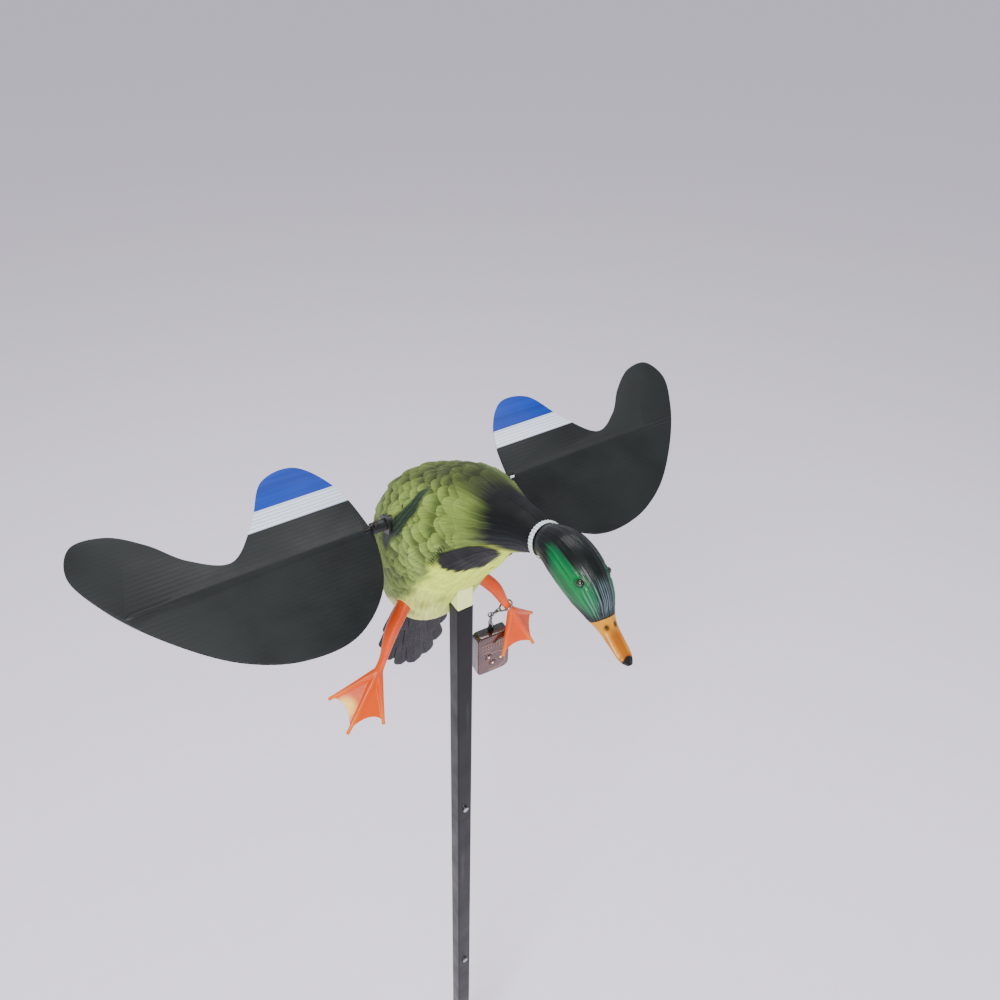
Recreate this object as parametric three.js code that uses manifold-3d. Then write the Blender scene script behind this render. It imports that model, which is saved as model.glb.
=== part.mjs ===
// A spinning-wing duck decoy for the field, on a square steel stake pole, with its key-fob remote.
// Millimetres. +Z is up, the duck faces -Y and its left side is +X. The origin is on the pole's axis at
// the ground line, so the pointed stake runs down below z = 0.
import * as THREE from "three";
import { mergeVertices } from "three/addons/utils/BufferGeometryUtils.js";
import Module from "manifold-3d";

const wasm = await Module();
wasm.setup();

// ---- driving dimensions -------------------------------------------------------------------------
const GAP = 0.3; // clearance between pieces that touch

// Pole: three lengths of square steel tube that plug together.
const TUBE = 19; // outside width of the square tube
const TUBE_WALL = 1.6;
const TUBE_CORNER = 2.2; // corner radius of the square tube
const SECTION = 357; // exposed length of one pole section
const POLE_TOP = 870; // rim of the upper section above the ground
const SPIGOT = 45; // reduced end of a section that plugs into the one above
const STAKE_POINT = 60; // length of the tapered point
const SNAP_DIAMETER = 7;
const SNAP_STAND = 2.4; // how far a snap button stands out of the tube
const SNAP_HEIGHT = 22; // snap button above the joint

// Body: the wing axle crosses it, and its axis is pitched up as the duck drops in to land.
const AXLE_Y = 36;
const AXLE_Z = 975;
const BODY_PITCH = 58; // degrees, belly line to the ground
const SHELL_WALL = 2.4;
const BODY_POWER = 2.2; // how square the body's sections are, 2 being an ellipse
const RING_RADIUS = 14.9; // white neck ring

// Wings and their drive.
const WING_ANGLE = 24; // degrees, trailing edge above level at rest
const WING_SHEET = 3; // thickness of the fluted sheet
const WING_ROOT = 80; // wing root from the duck's mid-plane
const WING_TIP = 337;
const ROD_DIAMETER = 4;
const ROD_END = 300; // how far out the rod reaches inside its pocket
const HUB_DIAMETER = 11.6;
const HUB_INNER = 64.5;
const BUSH_FLANGE = 20;
const AXLE_DIAMETER = 6;
const GEAR_MODULE = 1;
const GEAR_TEETH = 42;
const PINION_TEETH = 12;
const GEAR_X = 20; // mid-plane of the gear pair
const GEAR_WIDTH = 7;
const BACKLASH = 0.14; // how much each tooth flank is drawn in

// Cells and the box that holds them.
const CELL_DIAMETER = 14.5;
const CELL_LENGTH = 50.5;

// Remote.
const FOB = { width: 41, height: 58, depth: 14 };

const LEFT = 1;
const RIGHT = -1;

// ---- colours and finishes -----------------------------------------------------------------------
const finish = (color, roughness, metalness = 0) =>
  new THREE.MeshStandardMaterial({ color, roughness, metalness });
const BODY_GREEN = finish(0xa3b765, 0.6);
const HEAD_GREEN = finish(0x1c6a49, 0.35);
const RING_WHITE = finish(0xe8ecea, 0.5);
const BILL_YELLOW = finish(0xd9a63f, 0.45);
const LEG_ORANGE = finish(0xf26a28, 0.35);
const EYE_BLACK = finish(0x101214, 0.1);
const TAIL_BLACK = finish(0x1b1f24, 0.3);
const WING_BLACK = finish(0x303236, 0.6);
const POLE_BLACK = finish(0x24282a, 0.45);
const BLACK_PLASTIC = finish(0x17181a, 0.5);
const STEEL = finish(0xb9bcbf, 0.3, 1);
const ZINC = finish(0x9a9da0, 0.35, 1);
const BRASS = finish(0xc9a24e, 0.35, 1);
const NYLON = finish(0xe6e2d6, 0.5);
const BOARD_GREEN = finish(0x1f6b3a, 0.5);
const CELL_JACKET = finish(0x3c4046, 0.4);
const SMOKED = finish(0x4a2b22, 0.08);
const LED_AMBER = finish(0xe0a030, 0.2);
const FOB_BLACK = finish(0x131416, 0.25);

// ---- solid modelling helpers --------------------------------------------------------------------
function solid(geometry) {
  const bare = geometry.index ? geometry.toNonIndexed() : geometry.clone();
  bare.deleteAttribute("normal");
  bare.deleteAttribute("uv");
  const merged = mergeVertices(bare, 1e-4);
  return new wasm.Manifold(
    new wasm.Mesh({
      numProp: 3,
      vertProperties: merged.attributes.position.array,
      triVerts: new Uint32Array(merged.index.array),
    }),
  );
}

function geometryOf(made) {
  const mesh = made.getMesh();
  const geometry = new THREE.BufferGeometry();
  geometry.setAttribute("position", new THREE.BufferAttribute(mesh.vertProperties, 3));
  geometry.setIndex(new THREE.BufferAttribute(mesh.triVerts, 1));
  geometry.computeVertexNormals();
  return geometry;
}

const union = (parts) => parts.reduce((a, b) => a.add(b));
const cut = (from, tools) => tools.reduce((a, b) => a.subtract(b), from);

const rad = THREE.MathUtils.degToRad;
const v3 = (x, y, z) => new THREE.Vector3(x, y, z);

// A frame at a point, turned about X first and then about Z.
function frameAt(x, y, z, aboutX = 0, aboutZ = 0) {
  const turn = new THREE.Matrix4().makeRotationZ(rad(aboutZ));
  turn.multiply(new THREE.Matrix4().makeRotationX(rad(aboutX)));
  return new THREE.Matrix4().makeTranslation(x, y, z).multiply(turn);
}

const box = (sx, sy, sz, x, y, z, frame) => {
  const g = new THREE.BoxGeometry(sx, sy, sz).translate(x, y, z);
  return solid(frame ? g.applyMatrix4(frame) : g);
};

// A cylinder or cone along "x", "y" or "z", centred on a point.
function rod(axis, radius, length, x, y, z, { sides = 24, end = radius, frame } = {}) {
  const g = new THREE.CylinderGeometry(end, radius, length, sides);
  if (axis === "x") g.rotateZ(-Math.PI / 2);
  if (axis === "z") g.rotateX(Math.PI / 2);
  g.translate(x, y, z);
  return solid(frame ? g.applyMatrix4(frame) : g);
}

function ball(radius, x, y, z, { squash = [1, 1, 1], sides = 20, frame } = {}) {
  const g = new THREE.SphereGeometry(radius, sides, Math.round(sides / 2));
  g.scale(...squash).translate(x, y, z);
  return solid(frame ? g.applyMatrix4(frame) : g);
}

function extrude(shape, depth, { frame, steps = 12 } = {}) {
  const g = new THREE.ExtrudeGeometry(shape, { depth, bevelEnabled: false, curveSegments: steps });
  return solid(frame ? g.applyMatrix4(frame) : g);
}

// A round ring about Z, lathed from a rectangle with chamfered corners.
function ringBand(inner, outer, width, { sides = 32, chamfer = 0.6, frame } = {}) {
  const h = width / 2;
  const profile = [
    [inner, -h],
    [outer - chamfer, -h],
    [outer, -h + chamfer],
    [outer, h - chamfer],
    [outer - chamfer, h],
    [inner, h],
    [inner, -h],
  ].map(([r, z]) => new THREE.Vector2(r, z));
  const g = new THREE.LatheGeometry(profile, sides).rotateX(Math.PI / 2);
  return solid(frame ? g.applyMatrix4(frame) : g);
}

function roundedRect(width, height, radius) {
  const [w, h, r] = [width / 2, height / 2, radius];
  const shape = new THREE.Shape();
  shape.moveTo(-w + r, -h);
  shape.lineTo(w - r, -h).absarc(w - r, -h + r, r, -Math.PI / 2, 0);
  shape.lineTo(w, h - r).absarc(w - r, h - r, r, 0, Math.PI / 2);
  shape.lineTo(-w + r, h).absarc(-w + r, h - r, r, Math.PI / 2, Math.PI);
  shape.lineTo(-w, -h + r).absarc(-w + r, -h + r, r, Math.PI, 1.5 * Math.PI);
  return shape;
}

// Skins a row of rings, each the same number of points, into one closed solid.
function skin(rings) {
  const count = rings[0].length;
  const vertices = rings.flat();
  const index = [];
  for (let i = 0; i + 1 < rings.length; i++)
    for (let j = 0; j < count; j++) {
      const a = i * count + j;
      const b = i * count + ((j + 1) % count);
      index.push(a, b, a + count, b, b + count, a + count);
    }
  const middle = (ring) => ring.reduce((s, p) => s.add(p), v3(0, 0, 0)).divideScalar(count);
  const first = vertices.push(middle(rings[0])) - 1;
  const last = vertices.push(middle(rings.at(-1))) - 1;
  const top = (rings.length - 1) * count;
  for (let j = 0; j < count; j++) {
    const k = (j + 1) % count;
    index.push(first, k, j, last, top + j, top + k);
  }
  const g = new THREE.BufferGeometry().setFromPoints(vertices).setIndex(index);
  const made = solid(g);
  if (made.volume() > 0) return made;
  index.reverse();
  return solid(g.setIndex(index));
}

// Stations of a loft in the mid-plane: centre y and z, half-width, half-height above and below the
// centre. A spine smooths them, and gives its section at t, from 0 at the first station to 1 at the last.
function spine(stations) {
  const curve = new THREE.CatmullRomCurve3(
    stations.map(([y, z]) => v3(0, y, z)), false, "centripetal");
  const sizes = [2, 3, 4].map((k) => new THREE.SplineCurve(
    stations.map((s, i) => new THREE.Vector2(i, s[k]))));
  return (t) => {
    const along = curve.getTangent(t);
    const up = v3(0, -along.z, along.y).multiplyScalar(Math.sign(along.y));
    const [width, above, below] = sizes.map((size) => size.getPoint(t).y);
    return { centre: curve.getPoint(t), up, width, above, below };
  };
}

// Skins a spine's sections, drawn in by inset. A section is a superellipse: 2 is round, more is squarer.
function spineLoft(stations, { steps = 28, sides = 36, inset = 0, to = 1, power = 2 } = {}) {
  const section = spine(stations);
  const rings = [];
  const rounded = (c) => Math.sign(c) * Math.abs(c) ** (2 / power);
  for (let i = 0; i <= steps; i++) {
    const { centre, up, ...size } = section((to * i) / steps);
    const [width, above, below] = [size.width, size.above, size.below].map((h) => Math.max(h - inset, 0.6));
    rings.push(Array.from({ length: sides }, (_, j) => {
      const a = (2 * Math.PI * j) / sides;
      const rise = rounded(Math.sin(a));
      return v3(width * rounded(Math.cos(a)), 0, 0)
        .addScaledVector(up, rise * (rise > 0 ? above : below)).add(centre);
    }));
  }
  return skin(rings);
}

// A frame on a spine's surface in the mid-plane, +Z out of the back or out of the belly, X kept.
function surfaceFrame(section, t, outOfBack) {
  const at = (k) => {
    const { centre, up, above, below } = section(k);
    return centre.addScaledVector(up, outOfBack ? above : -below);
  };
  const along = at(t + 0.01).sub(at(t - 0.01)).normalize();
  const out = v3(0, -along.z, along.y).multiplyScalar(outOfBack ? 1 : -1);
  const x = v3(1, 0, 0);
  const y = out.clone().cross(x);
  return new THREE.Matrix4().makeBasis(x, y, out).setPosition(at(t));
}

// An involute spur gear about X, centred on a point, with one tooth's mid-line turned by phase.
function spurGear(teeth, width, bore, x, y, z, phase) {
  const pressure = rad(25);
  const pitch = (GEAR_MODULE * teeth) / 2;
  const base = pitch * Math.cos(pressure);
  const tip = pitch + 0.8 * GEAR_MODULE;
  const root = pitch - 1.05 * GEAR_MODULE;
  const involute = (r) => {
    const a = Math.acos(Math.min(base / r, 1));
    return Math.tan(a) - a;
  };
  const half = Math.PI / (2 * teeth) + involute(pitch) - BACKLASH / pitch;
  const shape = new THREE.Shape();
  const radii = [0, 0.5, 1].map((t) => THREE.MathUtils.lerp(Math.max(base, root), tip, t));
  for (let k = 0; k < teeth; k++) {
    const middle = phase + (2 * Math.PI * k) / teeth;
    const flank = radii.map((r) => [r, half - involute(r)]);
    const points = [[root, half], ...flank].map(([r, a]) => [r, middle - a]);
    points.push(...[[root, half], ...flank].reverse().map(([r, a]) => [r, middle + a]));
    for (const [r, a] of points) {
      const [px, py] = [r * Math.cos(a), r * Math.sin(a)];
      if (shape.curves.length || shape.currentPoint.x) shape.lineTo(px, py);
      else shape.moveTo(px, py);
    }
  }
  shape.holes.push(new THREE.Path().absarc(0, 0, bore / 2, 0, 2 * Math.PI, true));
  // The shape's plane is turned to Y-Z, and its depth to X.
  const frame = new THREE.Matrix4().makeBasis(v3(0, 1, 0), v3(0, 0, 1), v3(1, 0, 0));
  frame.setPosition(x - width / 2, y, z);
  return extrude(shape, width, { frame });
}

// ---- the assembly -------------------------------------------------------------------------------
const assembly = new THREE.Group();

function add(name, made, material, parent = assembly) {
  const mesh = new THREE.Mesh(geometryOf(made), material);
  mesh.name = name;
  parent.add(mesh);
  return mesh;
}

// The body's own frame: its origin on the wing axle, -Y towards the neck and +Z out of the back.
const BODY = frameAt(0, AXLE_Y, AXLE_Z, -BODY_PITCH);
const inBody = (x, y, z) => v3(x, y, z).applyMatrix4(BODY);
// A mid-plane point given from the wing axle.
const fromAxle = (y, z) => [AXLE_Y + y, AXLE_Z + z];

// ---- pole ---------------------------------------------------------------------------------------
function squareTube(outside, wall, bottom, top, corner = TUBE_CORNER) {
  const shape = roundedRect(outside, outside, corner);
  const inner = outside - 2 * wall;
  shape.holes.push(roundedRect(inner, inner, Math.max(corner - wall, 0.4)));
  return extrude(shape, top - bottom, { frame: frameAt(0, 0, bottom), steps: 3 });
}

const SPIGOT_WIDTH = TUBE - 2 * TUBE_WALL - 2 * GAP;
const JOINTS = [POLE_TOP - SECTION, POLE_TOP - 2 * SECTION];
const snapHole = (joint) => rod("y", SNAP_DIAMETER / 2 + GAP, TUBE, 0, -TUBE / 2, joint + SNAP_HEIGHT);

// The lower sections end in a spigot that is drawn down to fit inside the tube above.
function spigotEnd(joint) {
  const plug = squareTube(SPIGOT_WIDTH, TUBE_WALL, joint - 30, joint + SPIGOT, 1.4);
  const neck = squareTube(TUBE - 1, 3.4, joint - 8, joint - GAP, 1.6);
  return cut(union([plug, neck]), [snapHole(joint)]);
}

function pole() {
  const [high, low] = JOINTS;
  add("pole_upper", cut(squareTube(TUBE, TUBE_WALL, high, POLE_TOP), [snapHole(high)]), POLE_BLACK);
  const middleTube = cut(squareTube(TUBE, TUBE_WALL, low, high - GAP), [snapHole(low)]);
  add("pole_middle", middleTube.add(spigotEnd(high)), POLE_BLACK);
  const stakeTop = POLE_TOP - 3 * SECTION + STAKE_POINT;
  const lowerTube = squareTube(TUBE, TUBE_WALL, stakeTop, low - GAP);
  // A four-sided cone with its flats along the tube's sides.
  const point = new THREE.CylinderGeometry(TUBE / Math.SQRT2, 1.2, STAKE_POINT, 4)
    .rotateY(Math.PI / 4).rotateX(Math.PI / 2);
  point.translate(0, 0, stakeTop - STAKE_POINT / 2);
  add("pole_lower", union([lowerTube, solid(point), spigotEnd(low)]), POLE_BLACK);
  JOINTS.forEach((joint, i) => snapButton(i === 0 ? "upper" : "lower", joint));
}

function snapButton(place, joint) {
  const z = joint + SNAP_HEIGHT;
  const face = -TUBE / 2 - SNAP_STAND;
  const seat = -SPIGOT_WIDTH / 2 + TUBE_WALL + GAP;
  const pin = rod("y", SNAP_DIAMETER / 2, seat - face + 1, 0, (seat + 1 + face) / 2, z);
  const flange = rod("y", SNAP_DIAMETER / 2 + 1.1, 1, 0, seat + 0.5, z);
  add(`snap_button_${place}`, pin.add(flange), ZINC);
}

// ---- body shell ---------------------------------------------------------------------------------
// Stations from the neck joint to the rump, each from the axle: y, z, half-width, above, below.
const BODY_STATIONS = [
  [-166, 74, 13.9, 13.9, 13.9],
  [-145, 68.5, 18.5, 19, 18.5],
  [-114, 55, 27, 27, 27],
  [-77, 38, 41, 41, 46],
  [-31, 4, 57, 52, 62],
  [4, -34, 62, 68, 66],
  [22, -74, 60, 66, 62],
  [33, -112, 54, 50, 55],
  [42, -149, 43, 33, 40],
  [50, -181, 19, 12, 15],
].map(([y, z, ...sizes]) => [...fromAxle(y, z), ...sizes]);

const bodyOuter = spineLoft(BODY_STATIONS, { steps: 20, sides: 24, power: BODY_POWER });
const bodyInner = spineLoft(BODY_STATIONS,
  { steps: 14, sides: 18, inset: SHELL_WALL, to: 0.985, power: BODY_POWER });
const neckMouth = ball(12.2, 0, ...fromAxle(-165, 74), { sides: 14 });

const bodySection = spine(BODY_STATIONS);

// Hatch in the back over the cells: its frame lies on the back, -Y towards the neck.
const HATCH = { width: 64, length: 69, corner: 8 };
const HATCH_FRAME = surfaceFrame(bodySection, 0.695, true);
const local = (frame, x, y, z) => v3(x, y, z).applyMatrix4(frame);
const shifted = (frame, x, y, z) => frame.clone().multiply(new THREE.Matrix4().makeTranslation(x, y, z));

// The frame on the back at a distance from the hatch's middle, found by halving.
function backFrame(distance) {
  let [low, high] = [0.4, 0.95];
  const toHatch = HATCH_FRAME.clone().invert();
  for (let i = 0; i < 24; i++) {
    const middle = (low + high) / 2;
    const origin = v3(0, 0, 0).applyMatrix4(surfaceFrame(bodySection, middle, true));
    if (origin.applyMatrix4(toHatch).y < distance) low = middle;
    else high = middle;
  }
  return surfaceFrame(bodySection, low, true);
}

// Power switch between the hatch's hinge and the tail.
const SWITCH_FRAME = backFrame(HATCH.length / 2 + 26);
const SWITCH = { width: 13, length: 19.5, deep: 13 };

const hatchBlock = (grow) => {
  const outline = roundedRect(HATCH.width + 2 * grow, HATCH.length + 2 * grow, HATCH.corner + grow);
  return extrude(outline, 50, { frame: shifted(HATCH_FRAME, 0, 0, -22), steps: 4 });
};

// Screws through the belly into the chassis, and one through each flank into its bush plate.
const BELLY_SCREWS = [0.37, 0.79].map((t) => surfaceFrame(bodySection, t, false));
const SCREW_HEAD = 2.8;

function bodyShells() {
  const holes = [
    hatchBlock(0.5),
    rod("x", 7 + GAP, 160, 0, AXLE_Y, AXLE_Z),
    box(TUBE + 2, TUBE + 2, 60, 0, 0, AXLE_Z - 85),
    box(SWITCH.width + 2 * GAP, SWITCH.length + 2 * GAP, 40, 0, 0, 0, SWITCH_FRAME),
    legSocketHole(LEGS.left),
    legSocketHole(LEGS.right),
    ...BELLY_SCREWS.map((frame) => rod("z", SCREW_HEAD + GAP, 24, 0, 0, 0, { sides: 16, frame })),
    ...[LEFT, RIGHT].map((side) => flankScrewShape(side, GAP)),
    rod("x", HINGE.barrel + 0.5, 26, 0, 0, HINGE.z, { sides: 16, frame: HINGE_FRAME }),
    box(26, 8, 6, 0, -4, HINGE.z, HINGE_FRAME),
  ];
  const opened = cut(bodyOuter, [bodyInner, neckMouth, ...holes]);
  for (const side of [LEFT, RIGHT]) {
    const half = box(200, 500, 500, side * (100 + GAP / 2), AXLE_Y, AXLE_Z);
    const ear = cut(hatchEar(side), [hingePinShape(GAP)]);
    const whole = opened.add(ear).intersect(half);
    add(side === LEFT ? "body_shell_left" : "body_shell_right", largest(whole), BODY_GREEN);
  }
}

// The biggest body of a solid that a cut left in pieces.
const largest = (made) => made.decompose().sort((a, b) => b.volume() - a.volume())[0];

// ---- neck, head, bill ---------------------------------------------------------------------------
const HEAD_STATIONS = [
  [-169, 75.5, 14.2, 14.2, 14.2],
  [-179, 79, 16.6, 17, 16.6],
  [-194, 80, 19.3, 21.6, 19.5],
  [-211, 75, 19.5, 23.6, 20],
  [-226, 65.5, 16.5, 21.4, 17],
  [-237, 56, 11.6, 14, 11],
  [-247, 49.5, 8.4, 6.2, 6.4],
  [-258, 43.5, 7.4, 3.6, 4.4],
  [-267, 38.6, 6.6, 2.8, 3.2],
  [-273.5, 35.4, 3.8, 1.8, 1.8],
].map(([y, z, ...sizes]) => [...fromAxle(y, z), ...sizes]);
// The bill begins at a plane that leans, so that the forehead reaches forward over it.
const BILL_FRAME = frameAt(0, ...fromAxle(-240, 54), 138);

function head() {
  const outer = spineLoft(HEAD_STATIONS, { steps: 20, sides: 20 });
  const inner = spineLoft(HEAD_STATIONS, { steps: 8, sides: 14, inset: SHELL_WALL, to: 0.5 });
  const mouth = ball(12, 0, ...fromAxle(-167.5, 75), { sides: 14 });
  const sockets = [LEFT, RIGHT].map((side) => eyeBall(side, 2.75 + GAP));
  const ahead = (gap) => box(80, 80, 80, 0, 0, 40 - gap, BILL_FRAME);
  add("head_shell", cut(outer, [inner, mouth, ahead(GAP), ...sockets]), HEAD_GREEN);
  [LEFT, RIGHT].forEach((side) =>
    add(side === LEFT ? "eye_left" : "eye_right", eyeBall(side, 2.75), EYE_BLACK));
  const nostrils = [LEFT, RIGHT].map((side) => {
    const [y, z] = fromAxle(-250, 54);
    return ball(1.4, side * 3.6, y, z, { squash: [0.8, 1.8, 1], sides: 10 });
  });
  add("bill", cut(outer.intersect(ahead(0)), nostrils), BILL_YELLOW);
  const ringFrame = frameAt(0, ...fromAxle(-167.6, 74.8), 90 - 18);
  add("neck_ring", ringBand(RING_RADIUS, RING_RADIUS + 1.4, 5, { frame: ringFrame }), RING_WHITE);
}

function eyeBall(side, radius) {
  const [y, z] = fromAxle(-226.5, 83.5);
  return ball(radius, side * 12.9, y, z, { sides: 12 });
}

// ---- tail ---------------------------------------------------------------------------------------
const TAIL = { feathers: 7, length: 158, shorter: 42, spread: 20, half: 11.5, thick: 3 };

function tail() {
  const middle = (TAIL.feathers - 1) / 2;
  const root = frameAt(0, ...fromAxle(60, -146), -84);
  const plates = [];
  for (let k = 0; k < TAIL.feathers; k++) {
    const spread = (k - middle) / middle;
    const reach = TAIL.length - TAIL.shorter * spread ** 2 - TAIL.half;
    const frame = root.clone()
      .multiply(new THREE.Matrix4().makeRotationZ(rad(-TAIL.spread * spread)))
      .multiply(new THREE.Matrix4().makeTranslation(0, 0, 1.1 * Math.abs(k - middle)));
    const vane = new THREE.Shape();
    vane.moveTo(-7, 0).lineTo(7, 0).lineTo(TAIL.half, reach);
    vane.absarc(0, reach, TAIL.half, 0, Math.PI).lineTo(-7, 0);
    plates.push(extrude(vane, TAIL.thick, { frame, steps: 6 }));
  }
  const clear = spineLoft(BODY_STATIONS, { steps: 20, sides: 24, inset: -GAP, power: BODY_POWER });
  add("tail_fan", largest(cut(union(plates), [clear])), TAIL_BLACK);
}

// ---- legs ---------------------------------------------------------------------------------------
// Each leg: hip, ankle and three toe tips from the axle, in X, Y, Z.
const LEGS = {
  right: {
    side: RIGHT,
    hip: [-46, 4, -118],
    ankle: [-83, -4, -188],
    toes: [[-138, 2, -204], [-133, -30, -226], [-96, -38, -226]],
  },
  left: {
    side: LEFT,
    hip: [46, -2, -118],
    ankle: [80, -14, -176],
    toes: [[62, -26, -226], [104, -26, -230], [118, -2, -210]],
  },
};
const legPoint = ([x, y, z]) => v3(x, AXLE_Y + y, AXLE_Z + z);

// A straight-sided limb through points with a radius at each, round in section.
function limb(points, radii, { across = null, sides = 12 } = {}) {
  const curve = new THREE.CatmullRomCurve3(points, false, "centripetal");
  const size = new THREE.SplineCurve(radii.map((r, i) => new THREE.Vector2(i, r)));
  const rings = [];
  const steps = 3 * (points.length - 1);
  for (let i = 0; i <= steps; i++) {
    const t = i / steps;
    const along = curve.getTangent(t);
    const side = v3(0, 0, 0).crossVectors(along, across ?? v3(0, 1, 0)).normalize();
    const over = v3(0, 0, 0).crossVectors(side, along).normalize();
    const r = size.getPoint(t).y;
    const ring = [];
    for (let j = 0; j < sides; j++) {
      const a = (2 * Math.PI * j) / sides;
      ring.push(curve.getPoint(t)
        .addScaledVector(side, r * Math.cos(a))
        .addScaledVector(over, r * Math.sin(a)));
    }
    rings.push(ring);
  }
  return skin(rings);
}

// A leg's shank runs from a peg inside the body, through the hip, to the ankle.
const SHANK_RADII = [7.8, 7.8, 7.4, 4.6, 4.8];

function shankPoints(leg) {
  const [hip, ankle] = [legPoint(leg.hip), legPoint(leg.ankle)];
  const socket = hip.clone().add(v3(-leg.side * 5, 1, 11));
  const knee = hip.clone().lerp(ankle, 0.4).add(v3(leg.side * 2, 0, 2));
  return [socket, hip, knee, hip.clone().lerp(ankle, 0.8), ankle];
}

const legSocketHole = (leg) => limb(shankPoints(leg), SHANK_RADII.map((r) => r + GAP + 0.1));

function foot(leg) {
  const ankle = legPoint(leg.ankle);
  const toes = leg.toes.map(legPoint);
  const normal = v3(0, 0, 0)
    .crossVectors(toes[0].clone().sub(ankle), toes[2].clone().sub(ankle)).normalize();
  const pieces = toes.map((tip) => {
    const knuckle = ankle.clone().lerp(tip, 0.55);
    return limb([ankle, knuckle, tip], [4.4, 3.1, 1.6], { across: normal, sides: 8 });
  });
  // The web is a fan of thin plates between neighbouring toes, its free edge drawn in.
  for (let k = 0; k < 2; k++) {
    const [a, b] = [toes[k].clone().lerp(ankle, 0.06), toes[k + 1].clone().lerp(ankle, 0.06)];
    const rim = new THREE.QuadraticBezierCurve3(a, a.clone().lerp(b, 0.5).lerp(ankle, 0.26), b);
    const face = [ankle.clone(), ...rim.getPoints(8)];
    const flatNormal = v3(0, 0, 0)
      .crossVectors(a.clone().sub(ankle), b.clone().sub(ankle)).normalize();
    const lift = (sign) => face.map((p) => p.clone().addScaledVector(flatNormal, sign * 0.9));
    pieces.push(skin([lift(-1), lift(1)]));
  }
  return union(pieces);
}

function legs() {
  for (const [name, leg] of Object.entries(LEGS))
    add(`leg_${name}`, limb(shankPoints(leg), SHANK_RADII).add(foot(leg)), LEG_ORANGE);
}

// ---- wings and drive ----------------------------------------------------------------------------
const WING = new THREE.Matrix4().makeTranslation(0, AXLE_Y, AXLE_Z)
  .multiply(new THREE.Matrix4().makeRotationX(rad(WING_ANGLE)));

// One wing's outline for the left side: x out from the mid-plane, y towards the trailing edge.
function wingOutline(side) {
  const points = [
    [WING_ROOT, 6], [93, 56], [122, 90], [155, 86], [180, 45], [208, 16], [242, 32], [270, 60],
    [300, 80], [328, 81], [WING_TIP, 57], [317, 15], [278, -32], [229, -73], [182, -92],
    [133, -91], [94, -60], [WING_ROOT - 1, -10],
  ].map(([x, y]) => new THREE.Vector2(side * x, y));
  const curve = new THREE.CatmullRomCurve3(points.map((p) => v3(p.x, p.y, 0)), true, "centripetal");
  const smooth = curve.getPoints(90).slice(0, -1).map((p) => new THREE.Vector2(p.x, p.y));
  return new THREE.Shape(side === LEFT ? smooth : smooth.reverse());
}

const POCKET_RADIUS = 3.4;

function wing(side) {
  const frame = WING.clone().multiply(new THREE.Matrix4().makeTranslation(0, 0, -WING_SHEET / 2));
  const sheet = extrude(wingOutline(side), WING_SHEET, { frame, steps: 1 });
  const from = WING_ROOT + 7;
  const length = ROD_END + 6 - from;
  const middle = side * (from + length / 2);
  const pocket = rod("x", POCKET_RADIUS, length, middle, 0, 0, { sides: 16, frame: WING });
  const bore = rod("x", ROD_DIAMETER / 2 + GAP, ROD_END + GAP - HUB_INNER,
    side * (HUB_INNER + ROD_END + GAP) / 2, 0, 0, { sides: 16, frame: WING });
  return cut(sheet.add(pocket), [bore]);
}

function wings() {
  for (const [name, side] of [["left", LEFT], ["right", RIGHT]]) {
    add(`wing_${name}`, wing(side), WING_BLACK);
    const inner = HUB_INNER + 7;
    add(`wing_rod_${name}`,
      rod("x", ROD_DIAMETER / 2, ROD_END - inner, side * (inner + ROD_END) / 2, AXLE_Y, AXLE_Z,
        { sides: 16 }), STEEL);
    add(`wing_hub_${name}`, hub(side), BLACK_PLASTIC);
    add(`hub_screw_${name}`, hubScrew(side), ZINC);
    add(`bush_${name}`, bush(side), BLACK_PLASTIC);
  }
  add("wing_axle", rod("x", AXLE_DIAMETER / 2, 2 * (HUB_INNER + 5), 0, AXLE_Y, AXLE_Z), STEEL);
}

const HUB_LENGTH = 14;

function hub(side) {
  const middle = side * (HUB_INNER + HUB_LENGTH / 2);
  const barrel = rod("x", HUB_DIAMETER / 2, HUB_LENGTH, middle, AXLE_Y, AXLE_Z);
  const axleBore = rod("x", AXLE_DIAMETER / 2 + GAP, 6, side * (HUB_INNER + 2.6), AXLE_Y, AXLE_Z);
  const rodBore = rod("x", ROD_DIAMETER / 2 + GAP, 2 * HUB_LENGTH, middle, AXLE_Y, AXLE_Z,
    { sides: 16 });
  return cut(barrel, [axleBore, rodBore, hubScrewShaft(side, GAP)]);
}

const hubScrewShaft = (side, grow) =>
  rod("z", 1.5 + grow, 5 + grow, side * (HUB_INNER + 10.5), 0, ROD_DIAMETER / 2 + GAP + 2.8,
    { sides: 12, frame: WING });

function hubScrew(side) {
  const head = rod("z", 2.8, 2.4, side * (HUB_INNER + 10.5), 0, ROD_DIAMETER / 2 + 5.8 + 0.8,
    { sides: 12, frame: WING });
  return hubScrewShaft(side, 0).add(head);
}

function bush(side) {
  const flange = rod("x", BUSH_FLANGE / 2, 2.4, side * (HUB_INNER - GAP - 1.2), AXLE_Y, AXLE_Z,
    { sides: 32 });
  const sleeve = rod("x", 7, 22, side * (HUB_INNER - 1 - 11), AXLE_Y, AXLE_Z);
  const bore = rod("x", AXLE_DIAMETER / 2 + GAP, 60, side * 55, AXLE_Y, AXLE_Z);
  return cut(flange.add(sleeve), [bore]);
}

// Gear centres in the body's frame: the motor lies below the axle, towards the belly.
const CENTRES = (GEAR_MODULE * (GEAR_TEETH + PINION_TEETH)) / 2;
const MOTOR_LOCAL = { y: 4, z: -Math.sqrt(CENTRES ** 2 - 4 ** 2) };
const MOTOR = inBody(0, MOTOR_LOCAL.y, MOTOR_LOCAL.z);

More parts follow.
